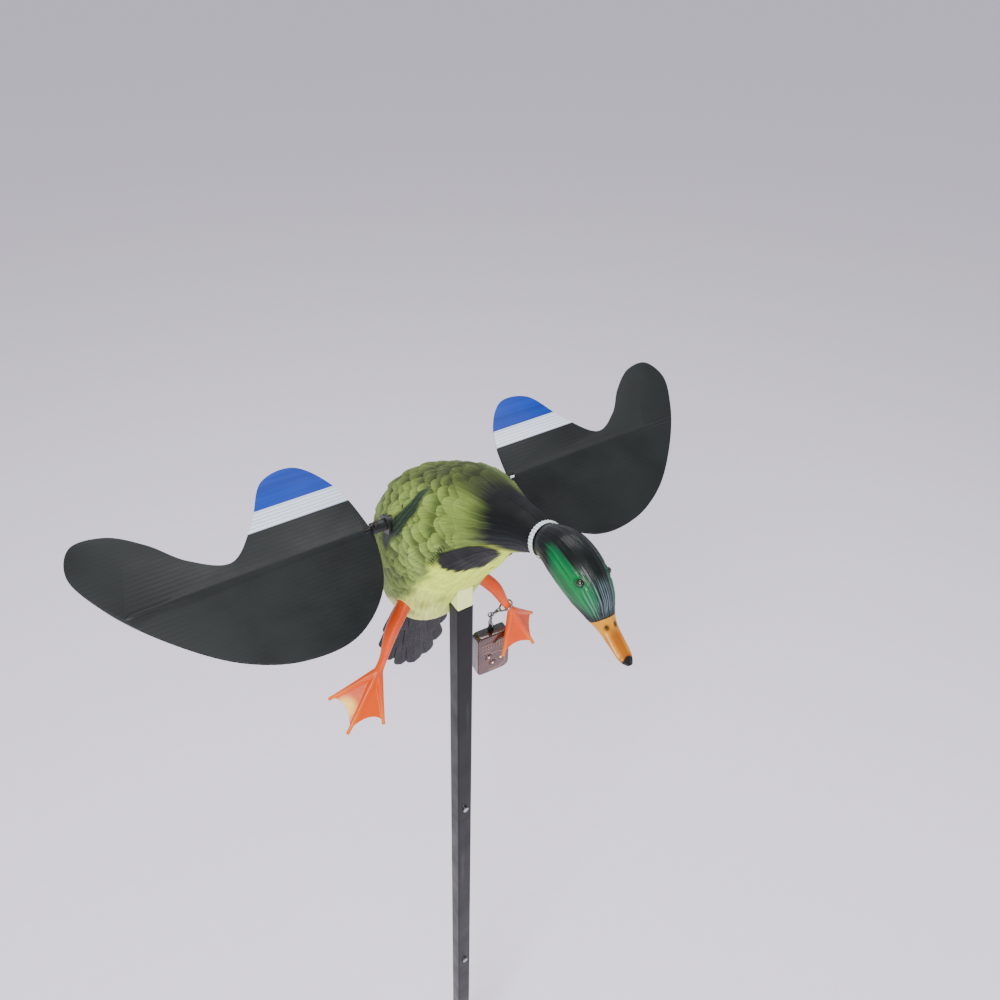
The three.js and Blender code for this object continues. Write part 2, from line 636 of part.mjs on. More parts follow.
function drive() {
  const down = Math.atan2(MOTOR.z - AXLE_Z, MOTOR.y - AXLE_Y);
  const gear = spurGear(GEAR_TEETH, GEAR_WIDTH, AXLE_DIAMETER + 2 * GAP, GEAR_X, AXLE_Y, AXLE_Z, down);
  const boss = cut(rod("x", 6.5, 5, GEAR_X + GEAR_WIDTH / 2 + 2.3, AXLE_Y, AXLE_Z),
    [rod("x", AXLE_DIAMETER / 2 + GAP, 20, GEAR_X + 5, AXLE_Y, AXLE_Z)]);
  add("drive_gear", gear.add(boss), NYLON);
  const tooth = Math.PI / PINION_TEETH;
  const phase = down + Math.PI + tooth;
  const pinion = spurGear(PINION_TEETH, GEAR_WIDTH + 1, 1, GEAR_X, MOTOR.y, MOTOR.z, phase);
  const from = MOTOR_END - 3;
  const to = GEAR_X + GEAR_WIDTH / 2 + 3;
  const shaft = rod("x", 1, to - from, (from + to) / 2, MOTOR.y, MOTOR.z, { sides: 12 });
  add("motor_pinion", pinion.add(shaft), BRASS);
  motor();
}

const MOTOR_RADIUS = 13.8;
const MOTOR_END = 13; // the motor's face towards the gears

function motor() {
  const length = 37;
  const can = rod("x", MOTOR_RADIUS, length, MOTOR_END - length / 2, MOTOR.y, MOTOR.z, { sides: 32 });
  const nose = rod("x", 4.5, 2, MOTOR_END + 0.9, MOTOR.y, MOTOR.z);
  const bore = rod("x", 1 + GAP, 8, MOTOR_END, MOTOR.y, MOTOR.z, { sides: 12 });
  add("motor_can", cut(can.add(nose), [bore]), ZINC);
}

// ---- chassis inside the body, and the boss that plugs into the pole -------------------------------
const BOSS_WIDTH = 18;
const BOSS_TOP = AXLE_Z - 70;
const RAIL = { y: 58, length: 150, z: -63, width: 16, thick: 5 };
const CHEEKS = [-25, 31.5]; // mid-planes of the plates that carry the axle and the motor
const CHEEK_THICK = 3;

function poleBoss() {
  const plugWidth = TUBE - 2 * TUBE_WALL - 2 * GAP;
  const plug = extrude(roundedRect(plugWidth, plugWidth, 1), 46,
    { frame: frameAt(0, 0, POLE_TOP - 44), steps: 3 });
  const block = extrude(roundedRect(BOSS_WIDTH, BOSS_WIDTH, 1.5), BOSS_TOP - POLE_TOP - GAP,
    { frame: frameAt(0, 0, POLE_TOP + GAP), steps: 3 });
  const screw = rod("z", 1.5 + GAP, 24, 0, 0, BOSS_TOP, { sides: 12 });
  add("pole_boss", cut(plug.add(block), [screw]), BODY_GREEN);
}

// A plate across the body with round ends about the axle and about the motor.
function cheek(x) {
  const [y, z] = [MOTOR.y - AXLE_Y, MOTOR.z - AXLE_Z];
  const lean = Math.atan2(z, y);
  const shape = new THREE.Shape();
  shape.absarc(0, 0, 10, lean + Math.PI / 2, lean + 1.5 * Math.PI);
  shape.absarc(y, z, MOTOR_RADIUS + 4, lean - Math.PI / 2, lean + Math.PI / 2);
  const frame = new THREE.Matrix4().makeBasis(v3(0, 1, 0), v3(0, 0, 1), v3(1, 0, 0));
  frame.setPosition(x - CHEEK_THICK / 2, AXLE_Y, AXLE_Z);
  return extrude(shape, CHEEK_THICK, { frame, steps: 10 });
}

function chassis() {
  const rail = box(RAIL.width, RAIL.length, RAIL.thick, 0, RAIL.y, RAIL.z, BODY);
  const [low, high] = CHEEKS;
  const base = box(high - low + CHEEK_THICK, 20, 4, (low + high) / 2, MOTOR_LOCAL.y,
    MOTOR_LOCAL.z - MOTOR_RADIUS - 4, BODY);
  const standing = box(14, 16, 24, 0, MOTOR_LOCAL.y, MOTOR_LOCAL.z - MOTOR_RADIUS - 12, BODY);
  const seat = box(BOSS_WIDTH + 4, BOSS_WIDTH + 4, 26, 0, 0, BOSS_TOP + GAP + 13);
  const posts = BELLY_SCREWS.map((frame) =>
    rod("z", 5, 16, 0, 0, -SHELL_WALL - GAP - 8, { sides: 16, frame }));
  const bored = [
    rod("x", AXLE_DIAMETER / 2 + GAP, 200, 0, AXLE_Y, AXLE_Z),
    rod("x", MOTOR_RADIUS + GAP, 42, MOTOR_END - 20.5, MOTOR.y, MOTOR.z, { sides: 32 }),
    rod("x", GEAR_MODULE * 8, 12, GEAR_X, MOTOR.y, MOTOR.z),
    ...BELLY_SCREWS.map((frame) => rod("z", 1.5 + GAP, 44, 0, 0, -10, { sides: 12, frame })),
    rod("z", 1.5 + GAP, 60, 0, 0, BOSS_TOP, { sides: 12 }),
    box(BOSS_WIDTH + 2 * GAP, BOSS_WIDTH + 2 * GAP, 80, 0, 0, BOSS_TOP + GAP - 40),
  ];
  const body = union([...CHEEKS.map(cheek), rail, base, standing, seat, ...posts]);
  const room = spineLoft(BODY_STATIONS,
    { steps: 14, sides: 18, inset: SHELL_WALL + 0.8, to: 0.985, power: BODY_POWER });
  add("chassis", largest(cut(body.intersect(room), bored)), BLACK_PLASTIC);
}

function screws() {
  BELLY_SCREWS.forEach((frame, i) => {
    const head = rod("z", SCREW_HEAD, 1.6, 0, 0, -SHELL_WALL + 0.8, { sides: 16, frame });
    const shank = rod("z", 1.5, 12, 0, 0, -SHELL_WALL - 5.5, { sides: 10, frame });
    const slot = box(3.6, 0.8, 1.4, 0, 0, -SHELL_WALL + 1.6, frame);
    add(`belly_screw_${i === 0 ? "front" : "rear"}`, cut(head.add(shank), [slot]), ZINC);
  });
  for (const side of [LEFT, RIGHT])
    add(`flank_screw_${side === LEFT ? "left" : "right"}`, flankScrewShape(side, 0), ZINC);
}

// A screw through the flank ahead of the bush.
function flankScrewShape(side, grow) {
  const [y, z] = fromAxle(-13, 24);
  const length = grow > 0 ? 24 : 2;
  const head = rod("x", 2.5 + grow, length, side * (48 + length / 2 - grow), y, z, { sides: 16 });
  return head.add(rod("x", 1.4 + grow, 10 + grow, side * 43.5, y, z, { sides: 10 }));
}

// ---- cells, box, hatch, latch, switch -------------------------------------------------------------
const CELL_PITCH = 15.9;
const TRAY = { x: CELL_LENGTH + 7, y: 4 * CELL_PITCH + 3, z: CELL_DIAMETER + 3, top: -18 };

function cells() {
  const frame = shifted(HATCH_FRAME, 0, 1, TRAY.top - TRAY.z / 2);
  const rows = [-1.5, -0.5, 0.5, 1.5].map((k) => k * CELL_PITCH);
  const bays = rows.map((y) => box(CELL_LENGTH + 2, CELL_PITCH - 0.9, TRAY.z, 0, y, 2, frame));
  add("battery_box", cut(box(TRAY.x, TRAY.y, TRAY.z, 0, 0, 0, frame), bays), BLACK_PLASTIC);
  rows.forEach((y, i) => {
    const turn = i % 2 ? -1 : 1;
    const z = -TRAY.z / 2 + 2 + GAP + CELL_DIAMETER / 2;
    const can = rod("x", CELL_DIAMETER / 2, CELL_LENGTH - 1.4, -0.7 * turn, y, z, { frame });
    const nub = rod("x", 2.7, 2, turn * (CELL_LENGTH / 2 - 1.1), y, z, { sides: 16, frame });
    add(`cell_${i + 1}`, can.add(nub), CELL_JACKET);
  });
}

// Receiver: a small board beside the motor.
function receiver() {
  const board = box(34, 26, 1.6, 0, -34, -18, BODY);
  const chips = [[-8, -36, 9], [8, -31, 6]].map(([x, y, w]) => box(w, w, 3, x, y, -16.2, BODY));
  add("receiver_board", union([board, ...chips]), BOARD_GREEN);
}

const HINGE = { z: 0.4, pin: 1.2, barrel: 2.8 };
const HINGE_FRAME = backFrame(HATCH.length / 2 + 3.6);
const hingePinShape = (grow) =>
  rod("x", HINGE.pin + grow, 44 + grow, 0, 0, HINGE.z, { sides: 12, frame: HINGE_FRAME });

// The ears stand on the shells at the hatch's tail end, one each side of the lid's barrel.
function hatchEar(side) {
  const barrel = rod("x", HINGE.barrel, 8, side * 17, 0, HINGE.z, { sides: 16, frame: HINGE_FRAME });
  return barrel.add(box(8, 4, 3.4, side * 17, 1.2, HINGE.z - 1.8, HINGE_FRAME));
}

function hatch() {
  const lid = largest(cut(bodyOuter.intersect(hatchBlock(0)), [bodyInner]));
  const barrel = rod("x", HINGE.barrel, 25, 0, 0, HINGE.z, { sides: 16, frame: HINGE_FRAME });
  const arm = box(25, 6, 2, 0, -3.4, HINGE.z - 1, HINGE_FRAME);
  const lip = box(18, 3, 3.4, 0, 0, 0.6, backFrame(3.5 - HATCH.length / 2));
  add("battery_hatch", cut(union([lid, barrel, arm, lip]), [hingePinShape(GAP)]), BODY_GREEN);
  add("hatch_pin", hingePinShape(0), STEEL);
}

const ROCKER_PIVOT = 1.4;
const ROCKER_TILT = 7; // degrees either side of level; it rests switched off

function powerSwitch() {
  const { width, length, deep } = SWITCH;
  const can = box(width, length, deep, 0, 0, -deep / 2, SWITCH_FRAME);
  const rim = box(width + 3.4, length + 3.4, 1.4, 0, 0, 1.9, SWITCH_FRAME);
  const neck = box(width, length, 2, 0, 0, 1, SWITCH_FRAME);
  const well = box(width - 3, length - 4, 9, 0, 0, 0.5, SWITCH_FRAME);
  add("switch_housing", cut(union([can, rim, neck]), [well]), BLACK_PLASTIC);
  const rocker = new THREE.Shape();
  rocker.moveTo(-6.6, 2.6).quadraticCurveTo(0, 0.2, 6.6, 2.6).lineTo(5.8, -1.2);
  rocker.lineTo(1.6, -3).lineTo(-1.6, -3).lineTo(-5.8, -1.2);
  const turned = new THREE.Matrix4().makeBasis(v3(0, 1, 0), v3(0, 0, 1), v3(1, 0, 0));
  const frame = shifted(SWITCH_FRAME, -(width - 3) / 2 + GAP, 0, ROCKER_PIVOT).multiply(turned);
  frame.multiply(new THREE.Matrix4().makeRotationZ(rad(ROCKER_TILT)));
  add("power_rocker", extrude(rocker, width - 3 - 2 * GAP, { frame, steps: 6 }), FOB_BLACK);
}

// ---- remote, clipped round the left leg -----------------------------------------------------------
// The clasp lies square to the shank with its tail downhill; the rest hangs plumb from its swivel eye.
const CLASP = { hole: 5.7, outer: 7.4, thick: 2.8, tail: 16.5, eye: 21.5 };
const shankAxis = legPoint(LEGS.left.ankle).sub(legPoint(LEGS.left.hip)).normalize();
const downhill = v3(0, 0, -1).addScaledVector(shankAxis, shankAxis.z).normalize();
const CLASP_FRAME = new THREE.Matrix4()
  .makeBasis(v3(0, 0, 0).crossVectors(shankAxis, downhill), downhill.clone().negate(), shankAxis)
  .setPosition(legPoint(LEGS.left.hip).lerp(legPoint(LEGS.left.ankle), 0.84));
const EYE = local(CLASP_FRAME, 0, -CLASP.eye, 0);

function clasp() {
  const half = CLASP.thick / 2;
  const plate = new THREE.Shape();
  plate.absarc(0, 0, CLASP.outer, rad(-40), rad(220)).lineTo(-3, -CLASP.tail).lineTo(3, -CLASP.tail);
  const made = extrude(plate, CLASP.thick, { frame: shifted(CLASP_FRAME, 0, 0, -half), steps: 14 });
  const gate = box(8, 11.5, 2 * CLASP.thick, CLASP.hole + 3.2, -0.5, 0, CLASP_FRAME);
  const hole = rod("z", CLASP.hole, 20, 0, 0, 0, { sides: 32, frame: CLASP_FRAME });
  const bore = rod("y", 1.2 + GAP, 6, 0, -CLASP.tail + 1, 0, { sides: 12, frame: CLASP_FRAME });
  const cavity = box(4.2, 3, 4, 0, -CLASP.tail + 5, 0, CLASP_FRAME);
  add("clasp_body", largest(cut(made, [hole, gate, bore, cavity])), ZINC);
  gateLever();
  swivel();
}

function gateLever() {
  const half = CLASP.thick / 2;
  const arc = new THREE.Shape();
  arc.absarc(0, 0, CLASP.outer, rad(-38), rad(36)).absarc(0, 0, CLASP.hole, rad(36), rad(-38), true);
  const bar = extrude(arc, CLASP.thick, { frame: shifted(CLASP_FRAME, 0, 0, -half), steps: 8 });
  const within = box(8, 10.1, 2 * CLASP.thick, CLASP.hole + 3.6, -0.5, 0, CLASP_FRAME);
  const thumb = box(4.4, 2, CLASP.thick, CLASP.outer + 1.6, -2.6, 0, CLASP_FRAME);
  add("clasp_lever", largest(bar.intersect(within).add(thumb)), ZINC);
}

function swivel() {
  const post = rod("y", 1.2, 6.6, 0, -CLASP.tail + 1.4, 0, { sides: 12, frame: CLASP_FRAME });
  const head = rod("y", 1.9, 1, 0, -CLASP.tail + 4.6, 0, { sides: 12, frame: CLASP_FRAME });
  const across = v3(1, 0, 0).transformDirection(CLASP_FRAME);
  const side = v3(0, 1, 0).transformDirection(CLASP_FRAME);
  add("swivel_eye", union([post, head, hoop(EYE, side, across.clone().cross(side), 3.1, 3.1, 0.85)]), ZINC);
}

// An oval wire ring about a centre, in the plane of a and b.
function hoop(centre, a, b, halfA, halfB, radius, { steps = 22, sides = 8 } = {}) {
  const across = a.clone().cross(b).normalize();
  const vertices = [];
  const index = [];
  for (let i = 0; i < steps; i++) {
    const turn = (2 * Math.PI * i) / steps;
    const [c, s] = [Math.cos(turn), Math.sin(turn)];
    const middle = centre.clone().addScaledVector(a, halfA * c).addScaledVector(b, halfB * s);
    const outward = a.clone().multiplyScalar(halfB * c).addScaledVector(b, halfA * s).normalize();
    for (let j = 0; j < sides; j++) {
      const round = (2 * Math.PI * (j + 0.5)) / sides;
      vertices.push(middle.clone()
        .addScaledVector(outward, radius * Math.cos(round))
        .addScaledVector(across, radius * Math.sin(round)));
      const [p, q] = [i * sides, ((i + 1) % steps) * sides];
      const k = (j + 1) % sides;
      index.push(p + j, p + k, q + j, q + j, p + k, q + k);
    }
  }
  const g = new THREE.BufferGeometry().setFromPoints(vertices).setIndex(index);
  const made = solid(g);
  return made.volume() > 0 ? made : solid(g.setIndex(index.reverse()));
}

const level = (degrees) => v3(Math.cos(rad(degrees)), Math.sin(rad(degrees)), 0);
const UP = v3(0, 0, 1);
const RING_WIRE = 0.95;
const LINK_WIRE = 0.8;
const RING_HALF = 5.6; // half the height of the key ring's wire centre-line
const LINK_HALF = 5;
const RING_CENTRE = EYE.z - 3.1 + 0.85 + RING_WIRE + GAP - RING_HALF;
const LINK_CENTRE = RING_CENTRE - RING_HALF + RING_WIRE + LINK_WIRE + GAP - LINK_HALF;
const LUG_CENTRE = LINK_CENTRE - LINK_HALF + 0.35;
const FOB_TURN = -4; // the way the remote's face looks, about Z
const LUG = { depth: 1.9, rise: 4.2 }; // the lug's middle behind the split, and its hole above the top edge
const FOB_FRAME = shifted(frameAt(EYE.x, EYE.y, LUG_CENTRE - LUG.rise - FOB.height / 2, 0, FOB_TURN),
  0, -LUG.depth, 0);

function keyRing() {
  const at = (z) => v3(EYE.x, EYE.y, z);
  add("key_ring", hoop(at(RING_CENTRE), level(46), UP, 5.9, RING_HALF, RING_WIRE), ZINC);
  add("key_link", hoop(at(LINK_CENTRE), level(100), UP, 3, LINK_HALF, LINK_WIRE), ZINC);
}

const FOB_BUTTONS = [
  ["remote_button_call", -6.5, -4],
  ["remote_button_stop", -1.5, -14.5],
];
const BUTTON_RADIUS = 4.3;
const BUTTON_TRAVEL = 0.6;

// The outline of the remote, softer at one lower corner.
function fobOutline(inset) {
  const [w, h] = [FOB.width / 2 - inset, FOB.height / 2 - inset];
  const [r, big] = [5 - inset * 0.6, 9 - inset * 0.6];
  const shape = new THREE.Shape();
  shape.moveTo(-w + r, -h).lineTo(w - big, -h).absarc(w - big, -h + big, big, -Math.PI / 2, 0);
  shape.lineTo(w, h - r).absarc(w - r, h - r, r, 0, Math.PI / 2);
  shape.lineTo(-w + r, h).absarc(-w + r, h - r, r, Math.PI / 2, Math.PI);
  shape.lineTo(-w, -h + r).absarc(-w + r, -h + r, r, Math.PI, 1.5 * Math.PI);
  return shape;
}

// Extrudes an outline in the remote's face plane from one depth to another, -Y being its front.
function fobPlate(shape, front, back) {
  const turned = new THREE.Matrix4().makeBasis(v3(1, 0, 0), UP, v3(0, -1, 0));
  const frame = FOB_FRAME.clone().multiply(turned);
  return extrude(shape, back - front, { frame: shifted(frame, 0, 0, -back), steps: 4 });
}

const fobRod = (radius, front, back, x, z, sides = 24) =>
  rod("y", radius, back - front, x, (front + back) / 2, z, { sides, frame: FOB_FRAME });

function remote() {
  const [front, split, back] = [-7, -0.6, 7];
  const antennaWay = rod("z", 1.6, 60, -16.2, 3.4, -8, { sides: 12, frame: FOB_FRAME });
  const lugHeight = FOB.height / 2 + LUG.rise;
  const lugOuter = fobRod(3.3, LUG.depth - 1.3, LUG.depth + 1.3, 0, lugHeight, 20)
    .add(box(6.6, 2.6, 6, 0, LUG.depth, lugHeight - 3, FOB_FRAME));
  const shell = cut(fobPlate(fobOutline(0), split + GAP, back),
    [fobPlate(fobOutline(1.6), split, back - 1.6)]);
  const lugHole = fobRod(1.75, -4, 8, 0, lugHeight, 16);
  const rib = box(6, 7, 50, -16.2, 3.4, -3, FOB_FRAME)
    .intersect(fobPlate(fobOutline(0.8), split + 1, back - 0.5));
  add("remote_back_shell",
    largest(cut(union([shell, lugOuter, rib]), [lugHole, antennaWay])), FOB_BLACK);
  const cover = cut(fobPlate(fobOutline(0), front, split),
    [fobPlate(fobOutline(1.6), front + 1.6, split + 1)]);
  const holes = FOB_BUTTONS.map(([, x, z]) => fobRod(BUTTON_RADIUS + GAP, -12, 0, x, z, 20));
  add("remote_front_cover", cut(cover, [...holes, fobRod(1.5 + GAP, -12, 0, ...FOB_LED, 16)]), SMOKED);
  for (const [name, x, z] of FOB_BUTTONS) {
    const cap = fobRod(BUTTON_RADIUS, front - 0.9, -4.6, x, z, 20);
    add(name, cap.add(fobRod(BUTTON_RADIUS + 1.2, -4.8, -3.8, x, z, 20)), FOB_BLACK);
  }
  add("remote_led", fobRod(1.5, front - 0.4, -1.6, ...FOB_LED, 16), LED_AMBER);
  const upright = FOB_FRAME.clone().multiply(new THREE.Matrix4().makeRotationX(Math.PI / 2));
  const board = box(26, 46, 1.2, 4, 0, 0, upright);
  const domes = FOB_BUTTONS.map(([, x, z]) => fobRod(1.6, -2.6, -0.5, x, z, 12));
  add("remote_board", union([board, ...domes]), BOARD_GREEN);
  add("remote_cell", fobRod(10, 1.4, 4.6, 4, -10, 28), STEEL);
  antenna();
}

const FOB_LED = [9.5, -11];

function antenna() {
  const mast = rod("z", 1, 46, -16.2, 3.4, -9, { sides: 12, frame: FOB_FRAME });
  const tip = ball(2, -16.2, 3.4, -FOB.height / 2 - 2.8, { sides: 12, frame: FOB_FRAME });
  const collar = rod("z", 1.3, 1.2, -16.2, 3.4, -FOB.height / 2 - 0.9, { sides: 12, frame: FOB_FRAME });
  add("remote_antenna", union([mast, tip, collar]), STEEL);
}

// ---- put it together ------------------------------------------------------------------------------
pole();
poleBoss();
bodyShells();
head();
tail();
legs();
wings();
drive();
chassis();
screws();
cells();
receiver();
hatch();
powerSwitch();
clasp();
keyRing();
remote();

export default assembly;
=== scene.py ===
"""Looks for the duck decoy, its pole and its remote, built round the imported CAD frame.

Lengths are in millimetres in the frame's own axes until a mesh is made, which is in metres.
"""

import bmesh
import bpy
import numpy as np
from mathutils import Matrix, Vector, kdtree


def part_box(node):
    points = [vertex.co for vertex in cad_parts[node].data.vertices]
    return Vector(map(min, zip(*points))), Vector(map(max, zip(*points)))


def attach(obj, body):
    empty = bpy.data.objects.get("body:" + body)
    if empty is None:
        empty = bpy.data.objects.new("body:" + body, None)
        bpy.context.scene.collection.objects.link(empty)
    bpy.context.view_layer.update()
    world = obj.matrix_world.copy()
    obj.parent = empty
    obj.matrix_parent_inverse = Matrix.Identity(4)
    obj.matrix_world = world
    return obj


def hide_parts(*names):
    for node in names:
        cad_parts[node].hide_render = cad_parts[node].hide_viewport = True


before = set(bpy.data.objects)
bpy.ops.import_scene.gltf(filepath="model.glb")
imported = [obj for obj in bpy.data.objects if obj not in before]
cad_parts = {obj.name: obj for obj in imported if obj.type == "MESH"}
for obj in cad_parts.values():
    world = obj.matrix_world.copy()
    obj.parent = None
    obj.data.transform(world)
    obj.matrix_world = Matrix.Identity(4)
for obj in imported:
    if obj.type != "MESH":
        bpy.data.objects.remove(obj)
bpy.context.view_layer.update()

MM = 0.001
LEFT, RIGHT = 1, -1
SIDES = ((LEFT, "left"), (RIGHT, "right"))
WORLD = np.eye(4)

axle_low, axle_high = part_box("wing_axle")
AXLE = np.array((axle_low + axle_high) / 2) / MM
POLE_SIDE = (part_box("pole_upper")[1][0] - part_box("pole_upper")[0][0]) / MM


# ---- numbers and colours
def smoothstep(low, high, x):
    t = np.clip((x - low) / (high - low), 0, 1)
    return t * t * (3 - 2 * t)


def bell(x, width):
    """1 where x is 0, falling away over about a width."""
    return np.exp(-((x / width) ** 2))


def signed_power(x, power):
    return np.sign(x) * abs(x) ** power


def unit(v):
    """A vector, or each row of an array, brought to length one."""
    return v / (np.linalg.norm(v, axis=1)[:, None] if v.ndim == 2 else np.linalg.norm(v))


def round_angles(count):
    return np.linspace(0, 2 * np.pi, count, endpoint=False)


def linear(rgb):
    """An 8-bit display colour as linear light."""
    c = np.array(rgb, float) / 255
    return np.where(c <= 0.04045, c / 12.92, ((c + 0.055) / 1.055) ** 2.4)


def as_light(colour):
    """A tuple is an 8-bit display colour; anything else is linear already."""
    return linear(colour) if isinstance(colour, tuple) else colour


def blend(a, b, weight):
    """Colour b laid over colour a by a weight."""
    a, b = as_light(a), as_light(b)
    return a + (b - a) * np.asarray(weight)[..., None]


def wobble(x, period, seed):
    """Smooth noise from -1 to 1 along one coordinate."""
    table = np.random.default_rng(seed).uniform(-1, 1, 512)
    k = np.floor(x / period).astype(int)
    f = smoothstep(0, 1, x / period - k)
    return table[k % 512] * (1 - f) + table[(k + 1) % 512] * f


def curve_point(points, t):
    """A centripetal Catmull-Rom curve through points, at t from 0 to 1."""
    points = np.asarray(points, float)
    t = np.atleast_1d(t)
    padded = np.vstack([2 * points[0] - points[1], points, 2 * points[-1] - points[-2]])
    x = np.clip(t, 0, 1) * (len(points) - 1)
    i = np.minimum(x.astype(int), len(points) - 2)
    w = (x - i)[:, None]
    p0, p1, p2, p3 = [padded[i + k] for k in range(4)]
    d0, d1, d2 = [np.sqrt(np.linalg.norm(b - a, axis=1))[:, None] for a, b in ((p0, p1), (p1, p2), (p2, p3))]
    m1 = ((p1 - p0) / d0 - (p2 - p0) / (d0 + d1) + (p2 - p1) / d1) * d1
    m2 = ((p2 - p1) / d1 - (p3 - p1) / (d1 + d2) + (p3 - p2) / d2) * d1
    return p1 + m1 * w + (3 * (p2 - p1) - 2 * m1 - m2) * w**2 + (2 * (p1 - p2) + m1 + m2) * w**3


def closed_curve(points, steps):
    """A smooth closed curve through points."""
    looped = np.vstack([points[-3:], points, points[:4]])
    t = 3 + np.linspace(0, len(points), steps, endpoint=False)
    return curve_point(looped, t / (len(looped) - 1))


def size_at(values, t):
    """A uniform Catmull-Rom curve through single values, at t from 0 to 1."""
    padded = np.concatenate([values[:1], values, values[-1:]])
    x = np.clip(t, 0, 1) * (len(values) - 1)
    i = np.minimum(x.astype(int), len(values) - 2)
    w = x - i
    p0, p1, p2, p3 = [padded[i + k] for k in range(4)]
    v0, v1 = (p2 - p0) / 2, (p3 - p1) / 2
    return (2 * (p1 - p2) + v0 + v1) * w**3 + (3 * (p2 - p1) - 2 * v0 - v1) * w**2 + v0 * w + p1


# ---- frames, as 4x4 arrays
def place(matrix, points):
    """Points in a frame, given in the part's own axes."""
    return np.asarray(points, float) @ matrix[:3, :3].T + matrix[:3, 3]


def frame_from(origin, x, y, z):
    made = np.eye(4)
    made[:3, 0], made[:3, 1], made[:3, 2], made[:3, 3] = x, y, z, origin
    return made


def moved(matrix, x, y, z):
    made = matrix.copy()
    made[:3, 3] = place(matrix, [[x, y, z]])[0]
    return made


def pitched(origin, degrees, about_z=0.0):
    """A frame turned about X and then about Z."""
    turn = Matrix.Rotation(np.radians(about_z), 4, "Z") @ Matrix.Rotation(np.radians(degrees), 4, "X")
    made = np.array(turn)
    made[:3, 3] = origin
    return made


# ---- meshes
def linked(name, data):
    made = bpy.data.objects.new(name, data)
    bpy.context.scene.collection.objects.link(made)
    return made


def mesh_object(name, vertices, faces, smooth=True):
    """A mesh object from millimetre vertices."""
    mesh = bpy.data.meshes.new(name)
    mesh.from_pydata((np.asarray(vertices) * MM).tolist(), [], [list(map(int, f)) for f in faces])
    mesh.validate()
    if smooth:
        mesh.polygons.foreach_set("use_smooth", [True] * len(mesh.polygons))
    mesh.update()
    return linked(name, mesh)


def solid(name, vertices, faces, smooth=True):
    """A closed mesh, its faces turned outward."""
    made = mesh_object(name, vertices, faces, smooth)
    work = bmesh.new()
    work.from_mesh(made.data)
    bmesh.ops.recalc_face_normals(work, faces=work.faces)
    if work.calc_volume(signed=True) < 0:
        bmesh.ops.reverse_faces(work, faces=work.faces)
    work.to_mesh(made.data)
    work.free()
    return made


def grid_faces(rows, columns):
    """Quads between rings of points."""
    i, j = np.meshgrid(np.arange(rows - 1), np.arange(columns), indexing="ij")
    k = (j + 1) % columns
    quads = np.stack([i * columns + j, i * columns + k, (i + 1) * columns + k, (i + 1) * columns + j], -1)
    return quads.reshape(-1, 4)


def tube(name, rings, matrix=WORLD):
    """A solid through rings of points, both ends closed by a fan."""
    rows, columns, _ = rings.shape
    vertices = np.vstack([rings.reshape(-1, 3), rings[0].mean(0), rings[-1].mean(0)])
    first, last = rows * columns, rows * columns + 1
    top = (rows - 1) * columns
    caps = []
    for j in range(columns):
        k = (j + 1) % columns
        caps += [(first, k, j), (last, top + j, top + k)]
    return solid(name, place(matrix, vertices), [*grid_faces(rows, columns).tolist(), *caps])


def hoop(name, rings, matrix=WORLD):
    """A solid through rings of points whose last ring meets its first."""
    rows, columns, _ = rings.shape
    faces = grid_faces(rows + 1, columns) % (rows * columns)
    return solid(name, place(matrix, rings.reshape(-1, 3)), faces)


def slab(name, low, high):
    """A flat-faced solid between two outlines of as many points."""
    n = len(low)
    walls = [(i, (i + 1) % n, n + (i + 1) % n, n + i) for i in range(n)]
    caps = [list(range(n))[::-1], list(range(n, 2 * n))]
    return solid(name, np.vstack([low, high]), [*caps, *walls], smooth=False)


def modified(made, kind, **settings):
    """Applies one modifier."""
    modifier = made.modifiers.new(kind, kind)
    for name, value in settings.items():
        setattr(modifier, name, value)
    bpy.context.view_layer.update()
    graph = bpy.context.evaluated_depsgraph_get()
    mesh = bpy.data.meshes.new_from_object(made.evaluated_get(graph))
    old = made.data
    made.modifiers.clear()
    made.data = mesh
    bpy.data.meshes.remove(old)
    return made


def boolean(made, tool, operation="DIFFERENCE", keep_tool=False):
    modified(made, "BOOLEAN", solver="MANIFOLD", operation=operation, object=tool)
    if not keep_tool:
        bpy.data.objects.remove(tool)
    return made


def copy_of(made, name):
    return linked(name, made.data.copy())


def block(size, centre=(0, 0, 0), matrix=WORLD):
    corners = np.array([(x, y, z) for x in (-1, 1) for y in (-1, 1) for z in (-1, 1)]) / 2
    faces = [(0, 1, 3, 2), (4, 6, 7, 5), (0, 4, 5, 1), (2, 3, 7, 6), (0, 2, 6, 4), (1, 5, 7, 3)]
    return solid("block", place(matrix, corners * np.array(size) + np.array(centre)), faces, smooth=False)


def turned_profile(profile, axis, centre, sides=48, matrix=WORLD, name="turned"):
    """A closed solid turned about an axis: profile holds (distance along the axis, radius)."""
    a = round_angles(sides)
    x, y, z = {"x": (0, 1, 2), "y": (1, 2, 0), "z": (2, 0, 1)}[axis]
    rings = np.zeros((len(profile), sides, 3))
    for i, (along, radius) in enumerate(profile):
        rings[i, :, x] = along
        rings[i, :, y] = radius * np.cos(a)
        rings[i, :, z] = radius * np.sin(a)
    return tube(name, rings + np.array(centre), matrix)


def cylinder(axis, radius, length, centre, matrix=WORLD):
    return turned_profile([(-length / 2, radius), (length / 2, radius)], axis, centre, 48, matrix, "cylinder")


def prism(outline, low, high, matrix, name="prism"):
    """An outline in a frame's X and Y, extruded along its Z."""
    return slab(name, *[place(matrix, np.c_[outline, np.full(len(outline), z)]) for z in (low, high)])


